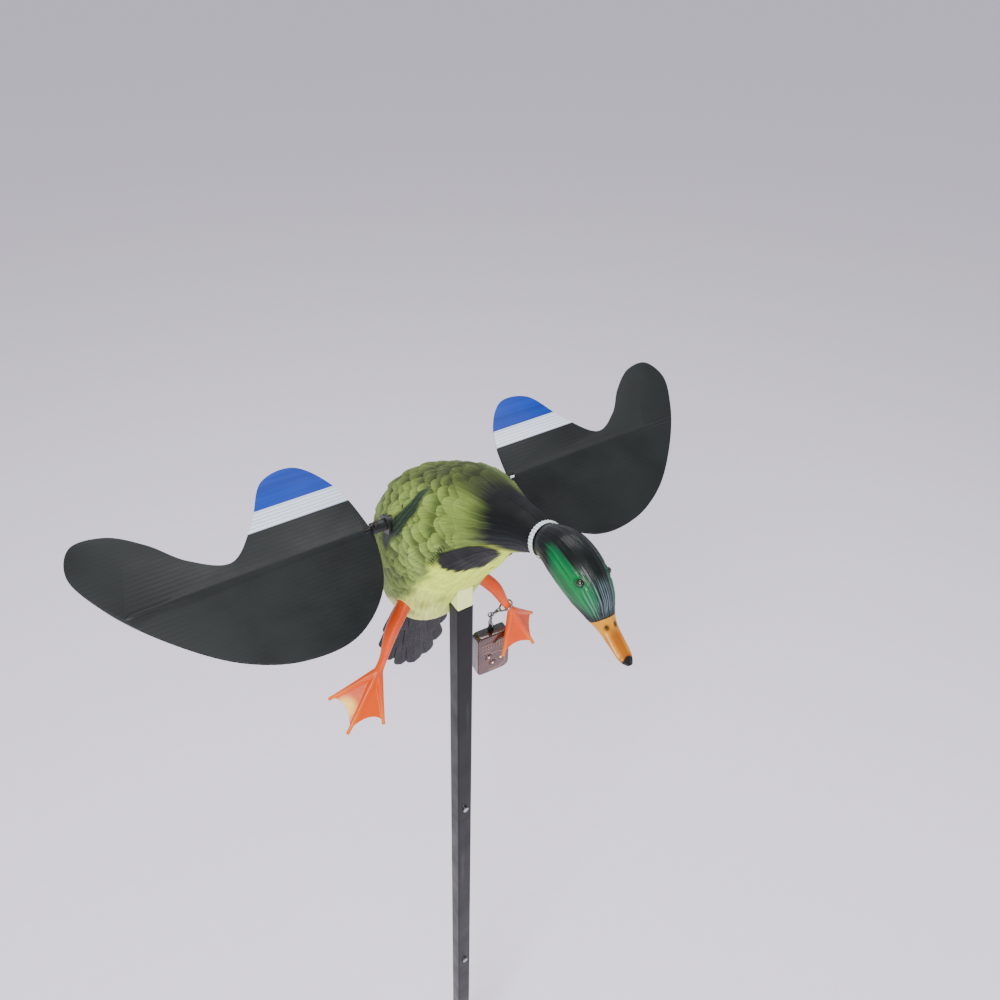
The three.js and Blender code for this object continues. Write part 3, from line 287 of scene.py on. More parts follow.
def rounded_rectangle(width, height, radius, steps, softer=None):
    """An outline with round corners; softer gives the lower right corner its own radius."""
    outline = []
    for k, (sx, sy) in enumerate([(1, -1), (1, 1), (-1, 1), (-1, -1)]):
        r = softer if k == 0 and softer else radius
        for i in range(steps + 1):
            a = np.pi / 2 * (k - 1 + i / steps)
            outline.append((sx * (width / 2 - r) + r * np.cos(a), sy * (height / 2 - r) + r * np.sin(a)))
    return np.array(outline)


def swept(line, side, over, radii, sides):
    """Rings round a line, each in the plane of its own side and over."""
    a = round_angles(sides)[None, :, None]
    radii = np.broadcast_to(radii, (len(line),))[:, None, None]
    return line[:, None] + radii * (side[:, None] * np.cos(a) + over[:, None] * np.sin(a))


def wire(points, radius, steps=120, sides=20):
    """A round wire along a smooth curve."""
    line = curve_point(points, np.linspace(0, 1, steps))
    along = unit(np.gradient(line, axis=0))
    side = np.zeros_like(along)
    seed = np.array([0.31, 0.87, 0.38])
    for i, direction in enumerate(along):
        seed = unit(seed - direction * (seed @ direction))
        side[i] = seed
    return tube("wire", swept(line, side, np.cross(along, side), radius, sides))


def limb(points, radii, flatten=1.0, across=(0, 1, 0)):
    """A round limb through points; flatten thins it along the across direction."""
    t = np.linspace(0, 1, 40)
    line = curve_point(points, t)
    along = unit(np.gradient(line, axis=0))
    side = unit(np.cross(along, np.array(across, float)))
    radii = size_at(np.asarray(radii, float), t)
    return tube("limb", swept(line, side, flatten * np.cross(side, along), radii, 28))


def sphere(centre, radius, squash=(1, 1, 1), name="ball", rings=24, sides=32):
    lat = np.linspace(0.02, np.pi - 0.02, rings)
    a = round_angles(sides)
    shape = np.stack([np.sin(lat)[:, None] * np.cos(a), np.sin(lat)[:, None] * np.sin(a),
                      np.repeat(np.cos(lat)[:, None], sides, 1)], -1)
    return tube(name, shape * radius * np.array(squash) + np.array(centre))


def joined(name, parts):
    """Several objects as one."""
    first, *rest = parts
    with bpy.context.temp_override(active_object=first, selected_editable_objects=parts):
        if rest:
            bpy.ops.object.join()
    first.name = name
    first.data.name = name
    return first


def smoothed(made):
    made.data.polygons.foreach_set("use_smooth", [True] * len(made.data.polygons))
    return made


def creased(made, angle):
    """Smooth shading with edges above an angle kept sharp."""
    smoothed(made).data.set_sharp_from_angle(angle=np.radians(angle))
    return made


def remeshed(made, voxel, smooth):
    modified(made, "REMESH", mode="VOXEL", voxel_size=voxel * MM)
    return smoothed(modified(made, "SMOOTH", iterations=smooth, factor=0.5))


def bevelled(made, width, segments=3, angle=40):
    modified(made, "BEVEL", width=width * MM, segments=segments, limit_method="ANGLE",
             angle_limit=np.radians(angle))
    return creased(made, angle)


def positions(made):
    co = np.zeros(len(made.data.vertices) * 3, np.float32)
    made.data.vertices.foreach_get("co", co)
    return co.reshape(-1, 3).astype(float) / MM


def store(made, name, values, kind="FLOAT", field="value"):
    """Stores a value on each vertex."""
    attribute = made.data.attributes.get(name) or made.data.attributes.new(name, kind, "POINT")
    attribute.data.foreach_set(field, np.asarray(values, np.float32).ravel())
    return made


def store_flow(made, flow):
    return store(made, "flow", flow, "FLOAT_VECTOR", "vector")


def paint(made, colours):
    """Stores a linear colour on each vertex."""
    rgba = np.ones((len(made.data.vertices), 4))
    rgba[:, :3] = colours
    return store(made, "paint", rgba, "FLOAT_COLOR", "color")


def wear(made, look):
    made.data.materials.clear()
    made.data.materials.append(look)


def finish_piece(made, look, body, slot, *nodes):
    wear(made, look)
    if nodes:
        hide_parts(*nodes)
    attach(made, body)
    return made


# ---- materials
class Look:
    """A procedural material on one Principled shader, its textures in the object's own space."""

    def __init__(self, name, colour=np.full(3, 0.5), rough=0.5, metal=0.0, coat=0.0):
        self.material = bpy.data.materials.new(name)
        self.material.use_nodes = True
        self.tree = self.material.node_tree
        self.shader = self.tree.nodes["Principled BSDF"]
        self.set("Base Color", (*as_light(colour), 1))
        self.set("Roughness", rough)
        self.set("Metallic", metal)
        self.set("Coat Weight", coat)
        self.space = self.node("ShaderNodeTexCoord").outputs["Object"]
        self.height = None

    def set(self, socket, value):
        self.shader.inputs[socket].default_value = value

    def node(self, kind, **settings):
        made = self.tree.nodes.new(kind)
        for name, value in settings.items():
            setattr(made, name, value)
        return made

    def link(self, source, target):
        self.tree.links.new(source, target)

    def feed(self, socket, value):
        """A number or a colour is set on a socket, and another node's output is linked to it."""
        if isinstance(value, (int, float, tuple)):
            socket.default_value = value
        else:
            self.link(value, socket)

    def stretched(self, vector, scale):
        node = self.node("ShaderNodeMapping")
        node.inputs["Scale"].default_value = scale
        self.link(vector, node.inputs["Vector"])
        return node.outputs["Vector"]

    def attribute(self, name, output="Fac"):
        return self.node("ShaderNodeAttribute", attribute_name=name).outputs[output]

    def noise(self, scale, detail=3.0, vector=None, rough=0.55, twist=0.0):
        node = self.node("ShaderNodeTexNoise")
        node.inputs["Scale"].default_value = scale
        node.inputs["Detail"].default_value = detail
        node.inputs["Roughness"].default_value = rough
        node.inputs["Distortion"].default_value = twist
        self.link(vector or self.space, node.inputs["Vector"])
        return node.outputs["Fac"]

    def ranged(self, value, low, high, to_low=0.0, to_high=1.0, smooth=False):
        kind = "SMOOTHSTEP" if smooth else "LINEAR"
        node = self.node("ShaderNodeMapRange", interpolation_type=kind)
        for name, v in zip(("From Min", "From Max", "To Min", "To Max"), (low, high, to_low, to_high)):
            node.inputs[name].default_value = v
        self.link(value, node.inputs["Value"])
        return node.outputs["Result"]

    def maths(self, operation, a, b):
        node = self.node("ShaderNodeMath", operation=operation)
        for socket, v in zip(node.inputs, (a, b)):
            self.feed(socket, v)
        return node.outputs[0]

    def mixed(self, fac, a, b, mode="MIX"):
        node = self.node("ShaderNodeMix", data_type="RGBA", blend_type=mode)
        for socket, v in zip((node.inputs[0], node.inputs[6], node.inputs[7]), (fac, a, b)):
            v = as_light(v)
            if isinstance(v, np.ndarray):
                v = (*v, 1)
            self.feed(socket, v)
        return node.outputs[2]

    def colour(self, source):
        self.link(source, self.shader.inputs["Base Color"])
        return self

    def roughness(self, source, low, high):
        self.link(self.ranged(source, 0.3, 0.7, low, high), self.shader.inputs["Roughness"])
        return self

    def bump(self, source, distance, strength=1.0):
        """Adds a layer of relief, its distance in millimetres."""
        node = self.node("ShaderNodeBump")
        node.inputs["Distance"].default_value = distance * MM
        node.inputs["Strength"].default_value = strength
        self.link(source, node.inputs["Height"])
        if self.height:
            self.link(self.height, node.inputs["Normal"])
        self.height = node.outputs["Normal"]
        self.link(self.height, self.shader.inputs["Normal"])
        return self


def moulded(name, rgb, rough=0.45, shade=0.78, coat=0.0, dust=0.12):
    """A moulded plastic: mottled tone, fine texture, faint scratches, dust where it is worn."""
    tone = linear(rgb)
    look = Look(name, tone, rough, coat=coat)
    cloud = look.noise(38, 4)
    fine = look.noise(900, 2)
    scratch = look.noise(260, 3, look.stretched(look.space, (1, 0.12, 0.3)), twist=0.6)
    base = look.mixed(look.ranged(cloud, 0.35, 0.68), tone * shade, tone)
    worn = look.mixed(look.ranged(scratch, 0.66, 0.74, 0, dust), base, blend(tone, 0.6, 0.45))
    look.colour(worn).roughness(cloud, rough - 0.07, rough + 0.09)
    return look.bump(fine, 0.06, 0.35).bump(scratch, 0.05, 0.25).material


def metal(name, rgb, rough=0.28, grain=(1, 1, 1)):
    """A metal: brushed along one way, smudged, with darker tarnish in patches."""
    tone = linear(rgb)
    look = Look(name, tone, rough, 1.0)
    dark_patches = look.noise(120, 4, twist=0.4)
    brushed = look.noise(1500, 2, look.stretched(look.space, grain))
    tarnish = look.ranged(dark_patches, 0.52, 0.7)
    look.colour(look.mixed(tarnish, tone, tone * 0.55))
    look.roughness(dark_patches, rough - 0.08, rough + 0.16)
    return look.bump(brushed, 0.04, 0.3).bump(dark_patches, 0.08, 0.2).material


def powder_coated():
    """The pole: a dark satin coat with orange peel, long scuffs and soil low down."""
    tone = linear((7, 10, 10))
    look = Look("pole_coat", tone, 0.38)
    look.set("Specular IOR Level", 0.18)
    peel = look.noise(700, 2)
    cloud = look.noise(26, 5)
    scuff = look.noise(120, 4, look.stretched(look.space, (1, 1, 0.04)), twist=0.3)
    scuffed = look.mixed(look.ranged(scuff, 0.62, 0.72, 0, 0.5), look.mixed(cloud, tone * 0.7, tone * 1.25),
                         (58, 64, 62))
    upright = look.node("ShaderNodeSeparateXYZ")
    look.link(look.space, upright.inputs[0])
    low = look.maths("MULTIPLY", look.ranged(upright.outputs["Z"], 0.03, -0.12), look.ranged(cloud, 0.3, 0.6))
    look.colour(look.mixed(low, scuffed, (104, 88, 66)))
    look.roughness(cloud, 0.3, 0.48)
    return look.bump(peel, 0.08, 0.3).bump(scuff, 0.06, 0.3).material


def feathered(name, rough=0.5, coat=0.0, barb=0.16, streak=0.12):
    """Painted plumage: the vertex paint broken up by barb lines, with fine relief along the feathers."""
    look = Look(name, rough=rough, coat=coat)
    look.set("Specular IOR Level", 0.22)
    flow = look.attribute("flow", "Vector")
    lines = look.noise(1.0, 2, look.stretched(flow, (0.05, 0.95, 0.95)))
    hair = look.noise(1.0, 2, look.stretched(flow, (0.16, 2.3, 2.3)))
    cloud = look.noise(60, 4)
    barbs = look.attribute("barb")
    wave = look.maths("SINE", look.maths("MULTIPLY", barbs, 5.6), 0.0)
    paintwork = look.attribute("paint", "Color")
    lit = look.mixed(look.ranged(lines, 0.36, 0.66, 0, 0.3), paintwork, np.zeros(3), "MULTIPLY")
    deep = look.mixed(look.ranged(cloud, 0.35, 0.7, 0, 0.22), lit,
                      np.array((0.25, 0.27, 0.16)), "MULTIPLY")
    look.colour(deep).roughness(cloud, rough - 0.08, rough + 0.1)
    look.bump(wave, barb, 0.6).bump(lines, streak * 2, 0.5).bump(hair, streak, 0.5)
    return look.bump(look.noise(1300, 2), 0.03, 0.3).material


def painted(name, rough=0.3, coat=0.3, bump=0.05, scale=500, subsurface=0.0):
    """A glossy painted moulding coloured by its vertex paint."""
    look = Look(name, rough=rough, coat=coat)
    cloud = look.noise(45, 4)
    fine = look.noise(scale, 3)
    toned = look.mixed(look.ranged(cloud, 0.38, 0.7, 0, 0.28), look.attribute("paint", "Color"),
                       np.array((0.72, 0.6, 0.45)), "MULTIPLY")
    look.set("Specular IOR Level", 0.2)
    look.set("Subsurface Weight", subsurface)
    look.set("Subsurface Scale", 0.004)
    look.set("Coat Roughness", 0.12)
    look.colour(toned).roughness(cloud, rough - 0.08, rough + 0.1)
    return look.bump(fine, bump, 0.5).bump(cloud, bump * 3, 0.3).material


def fluted_board():
    """The wing's fluted sheet: faint flutes along the axle, printed white band and blue cap."""
    dark = linear((22, 25, 25))
    look = Look("wing_board", dark, 0.5)
    along = look.attribute("chord")
    root = look.attribute("span")
    flutes = look.maths("SINE", look.maths("MULTIPLY", along, 2 * np.pi / 4.4), 0.0)
    cloud = look.noise(18, 5, twist=0.3)
    streaks = look.noise(90, 3, look.stretched(look.space, (0.05, 1, 1)))
    sheet = look.mixed(look.ranged(cloud, 0.3, 0.7), dark * 0.72, dark * 1.25)
    sheet = look.mixed(look.ranged(flutes, -1, 1, 0, 0.12), sheet, dark * 1.8)
    look.set("Specular IOR Level", 0.25)
    lobe = look.ranged(root, 214, 211)
    white = look.mixed(look.ranged(streaks, 0.3, 0.7), (198, 208, 224), (226, 232, 240))
    threads = look.maths("SINE", look.maths("MULTIPLY", along, 2 * np.pi / 3.6), 0.0)
    white = look.mixed(look.ranged(threads, 0.72, 0.95, 0, 0.75), white, (120, 138, 176))
    blue = look.mixed(look.ranged(streaks, 0.35, 0.68), (0, 44, 136), (2, 58, 162))
    in_band = look.maths("MULTIPLY", look.ranged(along, 36.2, 36.8), lobe)
    in_cap = look.maths("MULTIPLY", look.ranged(along, 56.2, 56.8), lobe)
    look.colour(look.mixed(in_cap, look.mixed(in_band, sheet, white), blue))
    look.roughness(cloud, 0.42, 0.6)
    return look.bump(flutes, 0.05, 0.5).bump(streaks, 0.06, 0.4).bump(look.noise(900, 2), 0.04, 0.3).material


def smoked():
    """The remote's cover: a dark brown clear plastic, glossy, with swirl marks."""
    look = Look("smoked_cover", (92, 44, 30), 0.08, coat=0.6)
    cloud = look.noise(70, 3, twist=0.5)
    swirl = look.noise(420, 4, twist=1.4)
    look.set("Transmission Weight", 0.55)
    look.set("IOR", 1.49)
    look.colour(look.mixed(look.ranged(cloud, 0.3, 0.7), (84, 36, 26), (120, 62, 42)))
    look.roughness(swirl, 0.05, 0.14)
    return look.bump(swirl, 0.02, 0.3).material


def glowing(name, rgb, rgb_hot, strength):
    """A lit plastic lens, hotter in its cloudy middle."""
    look = Look(name, rgb, 0.2, coat=0.5)
    cloud = look.noise(900, 2)
    tone = look.mixed(look.ranged(cloud, 0.35, 0.65), rgb, rgb_hot)
    look.colour(tone)
    look.link(tone, look.shader.inputs["Emission Color"])
    look.set("Emission Strength", strength)
    return look.roughness(cloud, 0.12, 0.3).bump(cloud, 0.05, 0.3).material


def circuit():
    """A circuit board: green resist over tracks, in two greens."""
    look = Look("circuit", (22, 92, 48), 0.35)
    cells = look.node("ShaderNodeTexBrick")
    cells.inputs["Scale"].default_value = 260
    look.link(look.space, cells.inputs["Vector"])
    look.link(look.mixed(cells.outputs["Fac"], (20, 84, 44), (58, 140, 76)),
              look.shader.inputs["Base Color"])
    cloud = look.noise(300, 3)
    return look.roughness(cloud, 0.25, 0.45).bump(cells.outputs["Fac"], 0.05, 0.5).material


def cell_skin():
    """A dry cell's printed jacket: two tones along its length, with darker mottling."""
    look = Look("cell_jacket", (60, 64, 70), 0.3, 0.4, coat=0.3)
    split = look.node("ShaderNodeSeparateXYZ")
    look.link(look.space, split.inputs[0])
    cloud = look.noise(160, 3)
    part = look.ranged(split.outputs["X"], 0.0128, 0.0132)
    tone = look.mixed(part, (46, 50, 56), (176, 128, 66))
    look.colour(look.mixed(look.ranged(cloud, 0.4, 0.7, 0, 0.4), tone, (28, 30, 34)))
    return look.roughness(cloud, 0.2, 0.4).bump(cloud, 0.04, 0.3).material


BLACK = moulded("black_plastic", (18, 19, 20), 0.42, dust=0.2)
BLACKED = metal("blacked_steel", (62, 58, 54), 0.35)
GLOSS_BLACK = moulded("gloss_black", (20, 21, 24), 0.2, coat=0.5, dust=0.2)
NATURAL_NYLON = moulded("nylon", (226, 220, 204), 0.48)
PALE_GREEN = moulded("pale_green", (232, 244, 150), 0.5, 0.86)
STEEL = metal("steel", (196, 198, 200), 0.26, (0.1, 1, 1))
ZINC = metal("zinc", (168, 170, 174), 0.3)
GUNMETAL = metal("gunmetal", (134, 134, 138), 0.22)
BRASS = metal("brass", (206, 166, 84), 0.3)
PLUMAGE = feathered("plumage", 0.58)
HEAD_PAINT = feathered("head_paint", 0.36, coat=0.1, barb=0.0, streak=0.3)
TAIL_PAINT = feathered("tail_paint", 0.3, coat=0.08, barb=0.1, streak=0.04)
GLOSSY_PAINT = painted("glossy_paint", 0.3, 0.05)
BILL_PAINT = painted("bill_paint", 0.32, 0.18, 0.08, 320)
RING_PAINT = painted("ring_paint", 0.45, 0.1, 0.08, 700)
BOARD = fluted_board()


# ---- lofts
# Stations in the mid-plane, from the axle: y, z, half-width, above, below.
BODY_STATIONS = [
    (-166, 74, 13.9, 13.9, 13.9), (-145, 68.5, 18.5, 19, 18.5), (-114, 55, 27, 27, 27), (-77, 38, 41, 41, 46),
    (-31, 4, 57, 52, 62), (4, -34, 62, 68, 66), (22, -74, 60, 66, 62), (33, -112, 54, 50, 55),
    (42, -149, 43, 33, 40), (50, -181, 19, 12, 15),
]
HEAD_STATIONS = [
    (-169, 75.5, 14.2, 14.2, 14.2), (-179, 79, 16.6, 17, 16.6), (-194, 80, 19.3, 21.6, 19.5),
    (-211, 75, 19.5, 23.6, 20), (-226, 65.5, 16.5, 21.4, 17), (-237, 56, 11.6, 14, 11),
    (-247, 49.5, 8.4, 6.2, 6.4), (-258, 43.5, 7.4, 3.6, 4.4), (-267, 38.6, 6.6, 2.8, 3.2),
    (-273.5, 35.4, 3.8, 1.8, 1.8),
]
BODY_POWER = 2.2
WALL = 2.4
ANGLE_MM = 0.9  # a degree round the body, in about a millimetre


class Loft:
    """A skin round a bent mid-line. Its rows are spaced evenly along the line; angle 0 is the back."""

    def __init__(self, stations, rows, columns, power=2.0, inset=0.0, to=1.0):
        stations = np.array(stations, float)
        line = stations[:, :2]
        fine = np.linspace(0, to, 2001)
        swept = curve_point(line, fine)
        arc = np.concatenate([[0], np.cumsum(np.linalg.norm(np.diff(swept, axis=0), axis=1))])
        t = np.interp(np.linspace(0, arc[-1], rows), arc, fine)
        middle = curve_point(line, t)
        along = curve_point(line, t + 1e-4) - curve_point(line, t - 1e-4)
        along = unit(along)
        up = np.c_[-along[:, 1], along[:, 0]] * np.sign(along[:, :1])
        width, above, below = [np.maximum(size_at(stations[:, k], t) - inset, 0.6) for k in (2, 3, 4)]
        angle = round_angles(columns)
        rise, side = [signed_power(c, 2 / power) for c in (np.cos(angle), np.sin(angle))]
        lift = np.where(rise > 0, above[:, None], below[:, None]) * rise
        across = width[:, None] * side
        y, z = [middle[:, k : k + 1] + up[:, k : k + 1] * lift for k in (0, 1)]
        self.grid = np.stack([across, y, z], -1) + AXLE
        self.s = np.repeat(np.interp(t, fine, arc)[:, None], columns, 1)
        self.angle = np.repeat(np.degrees(angle)[None], rows, 0)
        self.radius = np.repeat(((width + (above + below) / 2) / 2)[:, None], columns, 1)

    @property
    def off_back(self):
        """Degrees round from the back's mid-line, either way."""
        return np.minimum(self.angle, 360 - self.angle)

    def normals(self):
        along = np.gradient(self.grid, axis=0)
        wrapped = np.concatenate([self.grid[:, -1:], self.grid, self.grid[:, :1]], 1)
        round_ = wrapped[:, 2:] - wrapped[:, :-2]
        n = np.cross(along, round_)
        n /= np.linalg.norm(n, axis=2)[..., None] + 1e-9
        inward = (n * (self.grid - self.grid.mean(1)[:, None])).sum(2).mean() < 0
        return -n if inward else n

    def skin(self, height):
        """The loft's points, pushed out by a height at each."""
        return self.grid + self.normals() * height[..., None]


def flow_along(loft, radius):
    radians = np.radians(loft.angle)
    return np.stack([loft.s, radius * np.cos(radians), radius * np.sin(radians)], -1)


def patch(s, angle, corners):
    """Signed distance, in about a millimetre, inside a closed smooth patch of (s, angle) corners."""
    outline = closed_curve(np.array([(a, b * ANGLE_MM) for a, b in corners], float), 6 * len(corners))
    p = np.stack([s.ravel(), angle.ravel() * ANGLE_MM], 1)
    nearest = np.full(len(p), 1e9)
    within = np.zeros(len(p), bool)
    for a, b in zip(outline, np.roll(outline, -1, 0)):
        edge = b - a
        k = np.clip(((p - a) @ edge) / (edge @ edge + 1e-9), 0, 1)
        nearest = np.minimum(nearest, np.linalg.norm(p - a - k[:, None] * edge, axis=1))
        crosses = (a[1] > p[:, 1]) != (b[1] > p[:, 1])
        x = a[0] + (p[:, 1] - a[1]) * edge[0] / (edge[1] if abs(edge[1]) > 1e-9 else 1e-9)
        within ^= crosses & (p[:, 0] < x)
    return np.where(within, nearest, -nearest).reshape(s.shape)


def line_distance(s, angle, corners):
    """Distance from an open line of (s, angle) corners, and how far along it."""
    points = np.array([(a, b * ANGLE_MM) for a, b in corners], float)
    line = curve_point(points, np.linspace(0, 1, 40))
    p = np.stack([s.ravel(), angle.ravel() * ANGLE_MM], 1)
    d = np.linalg.norm(p[:, None] - line[None], axis=2)
    k = d.argmin(1)
    return d.min(1).reshape(s.shape), (k / 39).reshape(s.shape)


def scales(s, u, length, width, seed):
    """Overlapping feathers in rows: height from 0 to 1 on the one that shows, its own coordinates,
    and a random number for it. A row nearer the head lies over the next."""
    table = np.random.default_rng(seed).uniform(-1, 1, (4, 64, 128))
    pitch = length * 0.62
    best = np.full(s.shape, 1e9)
    height, tip, across, lift = [np.zeros(s.shape) for _ in range(4)]
    row0 = np.floor(s / pitch).astype(int)
    for dr in (-2, -1, 0, 1):
        row = row0 + dr
        shift = 0.5 * (row % 2)
        col0 = np.round(u / width - shift).astype(int)
        for dc in (-1, 0, 1):
            col = col0 + dc
            a, b, c, d = [table[k, row % 64, col % 128] for k in range(4)]
            root = row * pitch + 0.34 * pitch * a
            x = (s - root) / (length * (1 + 0.14 * c))
            y = (u - (col + shift) * width - 0.16 * width * b) / (width * 0.66)
            y = y + 0.25 * d * x
            edge = np.where(x < 0.4, 1.0, np.sqrt(np.clip(1 - ((x - 0.4) / 0.6) ** 2, 0, 1)))
            inside = (x > 0) & (x < 1) & (abs(y) < edge)
            shown = inside & (root < best)
            best = np.where(shown, root, best)
            height = np.where(shown, np.maximum(x, 0) ** 1.4 * (1 - 0.35 * y**2), height)
            across = np.where(shown, y, across)
            tip = np.where(shown, x, tip)
            lift = np.where(shown, c, lift)
    return height, tip, across, lift


def lookup_tree(loft):
    flat = loft.reshape(-1, 3)
    tree = kdtree.KDTree(len(flat))
    for i, p in enumerate(flat):
        tree.insert(Vector(p), i)
    tree.balance()
    return tree


def dress(made, tree, fields, depth=1.5):
    """Copies per-point fields of a dense skin to a mesh cut from it; the rest counts as inside."""
    co = positions(made)
    found = [tree.find(Vector(p)) for p in co]
    index = np.array([f[1] for f in found])
    far = np.array([f[2] for f in found]) > depth
    colours = fields["paint"].reshape(-1, 3)[index]
    colours[far] = fields["inner"]
    paint(made, colours)
    store(made, "barb", np.where(far, 0, fields["barb"].ravel()[index]))
    store_flow(made, fields["flow"].reshape(-1, 3)[index])
    return creased(made, 50)


# ---- frames on the body
def surface_frame(t, out_of_back=True):
    """A frame on the body's mid-line skin, Z out of it and X kept."""
    stations = np.array(BODY_STATIONS, float)

    def at(k):
        along = (curve_point(stations[:, :2], k + 1e-4) - curve_point(stations[:, :2], k - 1e-4))[0]
        along = unit(along)
        up = np.array([0, -along[1], along[0]]) * np.sign(along[0])
        size = size_at(stations[:, 3 if out_of_back else 4], np.array([k]))
        size = size if out_of_back else -size
        return np.array([0, *curve_point(stations[:, :2], k)[0]]) + AXLE + up * size

    along = at(t + 0.01) - at(t - 0.01)
    along = unit(along)
    out = np.array([0, -along[2], along[1]]) * (1 if out_of_back else -1)
    x = np.array([1.0, 0, 0])
    return frame_from(at(t), x, np.cross(out, x), out)


HATCH_FRAME = surface_frame(0.695)
HATCH_WIDTH, HATCH_LENGTH, HATCH_CORNER = 64, 69, 8


def back_frame(distance):
    """The frame on the back at a distance past the hatch's middle."""
    low, high = 0.4, 0.95
    for _ in range(24):
        middle = (low + high) / 2
        offset = (surface_frame(middle)[:3, 3] - HATCH_FRAME[:3, 3]) @ HATCH_FRAME[:3, 1]
        low, high = (middle, high) if offset < distance else (low, middle)
    return surface_frame(low)


HINGE_FRAME = back_frame(HATCH_LENGTH / 2 + 3.6)
SWITCH_FRAME = back_frame(HATCH_LENGTH / 2 + 26)
LIP_FRAME = back_frame(3.5 - HATCH_LENGTH / 2)
BELLY_FRAMES = [surface_frame(t, False) for t in (0.37, 0.79)]
HINGE_RISE, PIN, BARREL = 0.4, 1.2, 2.8

LEGS = {
    "right": (RIGHT, (-46, 4, -118), (-83, -4, -188), [(-138, 2, -204), (-133, -30, -226), (-96, -38, -226)]),
    "left": (LEFT, (46, -2, -118), (80, -14, -176), [(62, -26, -226), (104, -26, -230), (118, -2, -210)]),
}
SHANK_RADII = np.array([7.8, 7.8, 7.4, 4.6, 4.8])


def shank_points(side, hip, ankle):
    hip, ankle = np.array(hip, float) + AXLE, np.array(ankle, float) + AXLE
    socket = hip + (-5 * side, 1, 11)
    knee = hip + 0.4 * (ankle - hip) + (2 * side, 0, 2)
    return np.array([socket, hip, knee, hip + 0.8 * (ankle - hip), ankle])


# ---- body
def streaks(s, angle, pitch, seed):
    """Lines along the body, -1 to 1, mirrored in the mid-plane."""
    bent = angle + 2.2 * wobble(s, 21, seed + 1) + 0.8 * wobble(s, 7, seed + 5)
    breaks = wobble(s + 30 * wobble(angle, 4, seed + 2), 13, seed + 3)
    return wobble(bent, pitch, seed) * (0.62 + 0.38 * breaks)


BREAST = [(132, 119), (117, 112), (93, 110), (66, 112), (48, 126), (58, 158), (80, 169), (101, 159),
          (121, 145), (131, 132)]
SLATE_BAND = [(124, 42), (134, 60), (144, 68), (163, 78), (206, 86)]
COMB = [(106, 106), (124, 113), (146, 121)]


